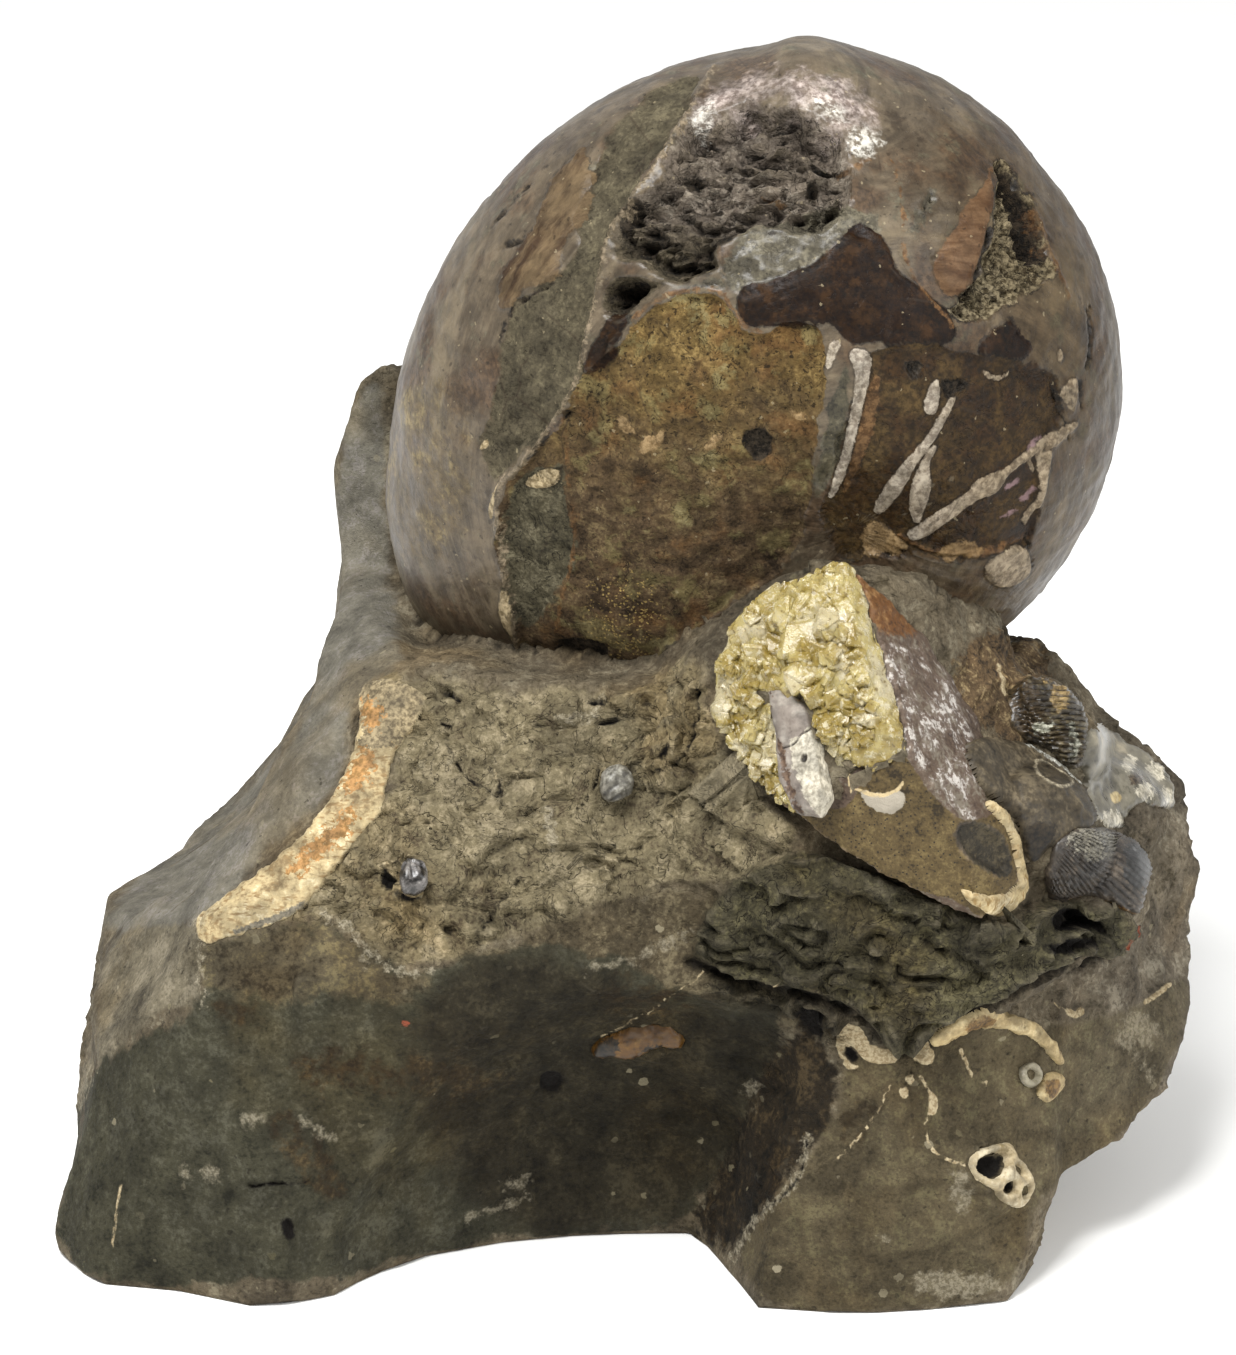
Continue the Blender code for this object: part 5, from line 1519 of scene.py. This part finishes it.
def finishBlock(piece, visible):
    places, outward = placesOf(piece), normalsOf(piece)
    covers = {node: coveredBy(places, node, fossil) for node, fossil in visible.items()}
    floor = ease(places[:, 2], 0.8, 4)
    spots = framePixels(places)
    facing = faceFront(piece)
    wander = rough(places, 7, 4, 40) * 1.6
    found = {}
    for name, mark in blockMarks.items():
        stray = wander if name in block["wide"] else 0
        found[name] = markBy(spots, mark) + stray - farOff * (1 - facing)
    level = {name: markBy(spots, mark) for name, mark in blockMarks.items() if name in block["levels"]}
    rugged = np.maximum(ease(level["shadedRecess"], -3, 3), ease(level["brow"], -2, 2))
    rugged = np.maximum(np.maximum(rugged, ease(level["shelf"], -2, 3) * 0.75), 0.3)
    calm = np.maximum(ease(level["lowFace"], -3, 1), ease(level["facet"], -3, 1))
    calm = np.maximum(ease(level["footFace"], -3, 1), calm)
    rugged *= (1 - 0.8 * calm) * (1 - 0.92 * ease(level["ramp"], -6, -1.5))
    depth = rough(places, 16, 2, 41) * (0.2 + 0.3 * rugged)
    depth += scales(places, 17, 1.8, 42, (1, 1, 1.5)) * 1.5 * rugged
    depth += scales(places, 7, 1.6, 43, (0.8, 1, 1.6)) * 0.4 * rugged
    depth += rough(places, 2.4, 3, 44) * (0.08 + 0.12 * rugged)
    depth -= np.clip(rough(places, 5, 3, 46) - 0.3, 0, 1) * 0.8 * rugged
    rise = ease(found["brow"], -0.4, 0.8)
    depth += rise * ((ridges(places, 10, 4, 45, (0.6, 1, 1.4)) - 0.75) * 2.0 - 2.4)
    depth += ease(found["shadowUnderBrow"], -0.3, 0.5) * 1.2
    depth += ease(found["cavity"], 0, 1.2) * 4 + ease(found["slit"], -0.1, 0.35) * 1.2
    depth += ease(found["pit"], -0.1, 0.4) * 1.0
    depth -= ease(found["creamBit"], 0, 0.4) * 0.5 + ease(found["paleEdge"], -0.1, 0.3) * 0.35
    places = places - outward * (depth * floor)[:, None]
    bare = copyOf("bareStone", "matrix")
    stoneTree = treeOf(bare)
    bpy.data.objects.remove(bare)
    inner = np.zeros(len(places))
    middle = np.array(conch["centre"])
    for node, covered in covers.items():
        tree = crustTree if node == "calcite_crystals" else treeOf(visible[node])
        for index in covered:
            if node == "ammonite":
                inner[index] = ease(stoneTree.find_nearest(Vector(places[index]))[3], 2, 10)
                places[index] += (middle - places[index]) * 0.22 * inner[index]
            nearest, normal, _, _ = tree.find_nearest(Vector(places[index]), 30)
            if nearest is not None and (Vector(places[index]) - nearest).dot(normal) > -block["tuck"]:
                places[index] = nearest - normal * block["tuck"]
    places = insideBox(places)
    places[:, 2] = np.where(places[:, 2] < 0.5, 0, places[:, 2])
    movePlaces(piece, places)
    storeMarks(piece, nearOnly(found))
    hidden = np.zeros(len(places))
    hidden[places[:, 2] < 0.05] = 1
    hidden = np.maximum(np.maximum(hidden, inner), ease(outward @ forward, 0.3, 0.6) * 0.5)
    group = piece.vertex_groups.new(name="coarse")
    for index in np.nonzero(hidden > 0)[0]:
        group.add([int(index)], float(hidden[index]), "REPLACE")
    piece.data.calc_loop_triangles()
    share = block["triangles"] / len(piece.data.loop_triangles)
    print("block before thinning", len(piece.data.loop_triangles))
    if share < 1:
        applyStep(piece, "DECIMATE", ratio=share, vertex_group="coarse", vertex_group_factor=1.0)
    piece.vertex_groups.clear()
    movePlaces(piece, insideBox(placesOf(piece)))


def blockMaterial():
    material, bench, surface = newMaterial("mudstone", Specular_IOR_Level=0.15)
    finer = bench.cloud(0.7, 4, 0.65)
    wide = bench.cloud(22, 4, 0.6)
    stains = bench.cloud(2.5, 4, 0.65)
    across, _, height = bench.axes()
    stone = bench.layers((0.9, "3a3325", "5a5141", "736b59"), [
        ((0.9, "2f2a20", "494134", "605848"), (wide, 0.45, 0.6)),
        ((0.6, "545048", "635f54", "726d66"), ("ramp", 0.8, 1.2, 4)),
        ((0.8, "433a2c", "675e48", "857a62"), ("shelf", 1.4, 1.2, 3)),
        ((0.8, "443e32", "615a4a", "766e5d"), ("facet", 0.5, 0.6, 3)),
        ((0.9, "262015", "423a2b", "5f5642"), ("midBrown", 2.5, 2.0, 5)),
        ((0.8, "212017", "343226", "444236"), ("lowFace", 1.2, 0.8, 3)),
        ((0.8, "2b251a", "474031", "5f563e"), ("faceTop", 2.5, 1.5, 4)),
        # painted shade: the darkest stone, in the recess under the overhanging shelf and brow
        ((0.9, "17140d", "252117", "353023"), ("shadedRecess", 3, 4, 6)),
        ((0.9, "211e15", "383426", "524d37"), ("brow", 1.5, 1.0, 4)),
        # painted shade: near black in the corner between the lower face and the right foot
        ((1.2, "0d0b07", "1f1910", "3a3020"), ("footCornerShade", 2.0, 1.2, 3)),
        ((0.6, "322c1f", "453d2d", "544d38"), ("footFace", 0.6, 0.8, 3)),
        ((0.8, "28221b", "554531", "8c7a59"), ("darkRock", 1.6, 0.8, 2)),
        # painted shadow: a near black line under the brow's ledge
        ("0f0c08", ("shadowUnderBrow", 0.8, 0.8, 2), 0.85),
        ((0.9, "1c160d", "2c2417", "463b27"), ("brownStain", 3.0, 1.5, 5), (stains, 0.4, 0.6, 0.25, 0.95)),
    ])
    top = bench.plus(height, bench.times(wide, 16.0))
    right = bench.plus(across, bench.times(wide, 20.0))
    marks = {name: bench.mark(name) for name in block["levels"]}
    rugged = bench.most((marks["shadedRecess"], -3, 3), (marks["brow"], -2, 2), (marks["shelf"], -2, 3, 0.25, 0.7))
    even = bench.most((marks["ramp"], -2, 1), (marks["footFace"], -1, 1), (marks["lowFace"], -1, 2))
    rugged = bench.times(rugged, (even, 0, 1, 1.0, 0.15))
    steps, cracksAndStepShade = bench.group(broken, Size=6.0, Levels=6.0)
    crumbs, crumbShade = bench.group(flecks, Size=2.6, Amount=0.07)
    pepper = bench.group(flecks, Size=1.2, Amount=0.08)[0]
    pale = bench.over("6f6754", "a49b86", (finer, 0.4, 0.6))
    edges, hollowShade = bench.group(edgeWearAndHollowShade, Start=0.53, End=0.64)
    colour = bench.layers(bench.soiled(stone, (bench.cloud(9, 6, 0.7, None, 0.4), 0.34, 0.66, 0.66, 1.24)), [
        # darker towards the upper left; painted light: lighter towards the lower right and the far right,
        # which the key light from the left leaves in shade
        ((0.82, 0.84, 0.86, 1), (top, 120, 146), (across, -20, -44)),
        ((1.35, 1.37, 1.42, 1), (across, 50, 78), (height, 80, 40)),
        ((1.03, 1.05, 1.12, 1), (right, 82, 100)),
        # near black along the drops of the broken steps: cracks, and painted shade below each step
        ("15120c", cracksAndStepShade, bench.times(rugged, 0.7)),
        ((1.25, 1.04, 0.72, 1), (bench.cloud(30, 3, 0.6), 0.5, 0.7), 0.5),
        (bench.over("5e573f", "968d76", crumbShade), crumbs, (wide, 0.4, 0.6, 0.1, 0.6)),
        ("1c1812", pepper, 0.55),
        (pale, ("faint", 1.8, 0.8, 2), 0.42),
        (pale, ("paleEdge", 1.4, 0.5, 1.5), 0.55),
        (bench.over("87775a", "aa9c7e", (finer, 0.4, 0.6)), ("creamBit", 0.15, 0.12, 1.2)),
        ("8a4632", ("red", 0.3, 0.15, 1), (finer, 0.4, 0.55, 0.3, 0.8)),
        # near black: cracks in the slits, painted shade in the cavities and pits, and a painted shadow below
        # the ammonite's lower right edge
        *(("0f0c09", (name, 0.3, 0.3, 1)) for name in ("cavity", "slit", "shadowUnderConch", "pit")),
        ("857c68", edges, 0.3),
        # painted shade: near black in the hollows
        ("100d09", hollowShade, 0.75),
    ])
    relief = bench.plus(
        bench.times(finer, 0.7), bench.times(bench.cloud(0.3, 2), 0.4),
        bench.times(bench.cloud(3, 5, 0.7, None, 0.6), 1.1),
    )
    relief = bench.minus(relief, bench.times(pepper, 0.25))
    relief = bench.plus(relief, bench.times(steps, (rugged, 0, 1, 0.1, 1.8)))
    finishSurface(bench, surface, colour, (finer, 0.3, 0.7, 0.75, 0.95), relief, 0.6, 0.75)
    return material


blockPiece = beginBlock()
ground = treeOf(blockPiece)
fossils = {
    "ammonite": conchPiece, "shell_fragment": fragmentPiece, "calcite_crystals": calcitePiece,
    "septum_plate": tonguePiece,
}
for pieceName, plan in shells.items():
    fossils[plan["node"]] = laidShell(pieceName, plan, ground)
    settle(fossils[plan["node"]], laidMaterial(pieceName, plan), [plan["node"]])
finishBlock(blockPiece, fossils)
settle(blockPiece, blockMaterial(), ["matrix"])


# Floor, light and camera.

studio = {
    "floorTint": "f8f8f6",
    "skyStrength": 0.62,
    "keyPower": 30,
    "fillPower": 9,
}


def makeStudio():
    bpy.ops.object.select_all(action="DESELECT")
    bpy.ops.mesh.primitive_plane_add(size=6, location=(0, 0, -0.0002))
    floor = bpy.context.object
    floor.name = "floor"
    bpy.ops.object.transform_apply(location=True)
    material, bench, surface = newMaterial("paleFloor")
    bench.feed(surface.inputs["Base Color"], tint(studio["floorTint"]))
    surface.inputs["Roughness"].default_value = 0.8
    floor.data.materials.append(material)
    world = bpy.data.worlds.new("studio")
    world.use_nodes = True
    scene.world = world
    sky = world.node_tree.nodes["Background"]
    sky.inputs["Color"].default_value = (1, 1, 1, 1)
    sky.inputs["Strength"].default_value = studio["skyStrength"]
    for name, place, size, power in [
        ("keyLight", (-0.35, -0.6, 1.3), 0.6, studio["keyPower"]),
        ("fillLight", (1.0, -0.7, 0.7), 0.8, studio["fillPower"]),
    ]:
        lamp = bpy.data.objects.new(name, bpy.data.lights.new(name, "AREA"))
        lamp.data.energy = power
        lamp.data.size = size
        lamp.location = place
        lamp.rotation_mode = "QUATERNION"
        lamp.rotation_quaternion = (Vector((0, 0, 0.09)) - Vector(place)).to_track_quat("-Z", "Y")
        scene.collection.objects.link(lamp)
    camera = bpy.data.objects.new("camera", bpy.data.cameras.new("camera"))
    camera.data.sensor_width = 36
    camera.data.lens = look["lens"]
    camera.location = eye / 1000
    camera.rotation_euler = (math.radians(90 - look["elevation"]), 0, 0)
    scene.collection.objects.link(camera)
    scene.camera = camera
    scene.view_settings.view_transform = "Standard"


makeStudio()
print("finished")
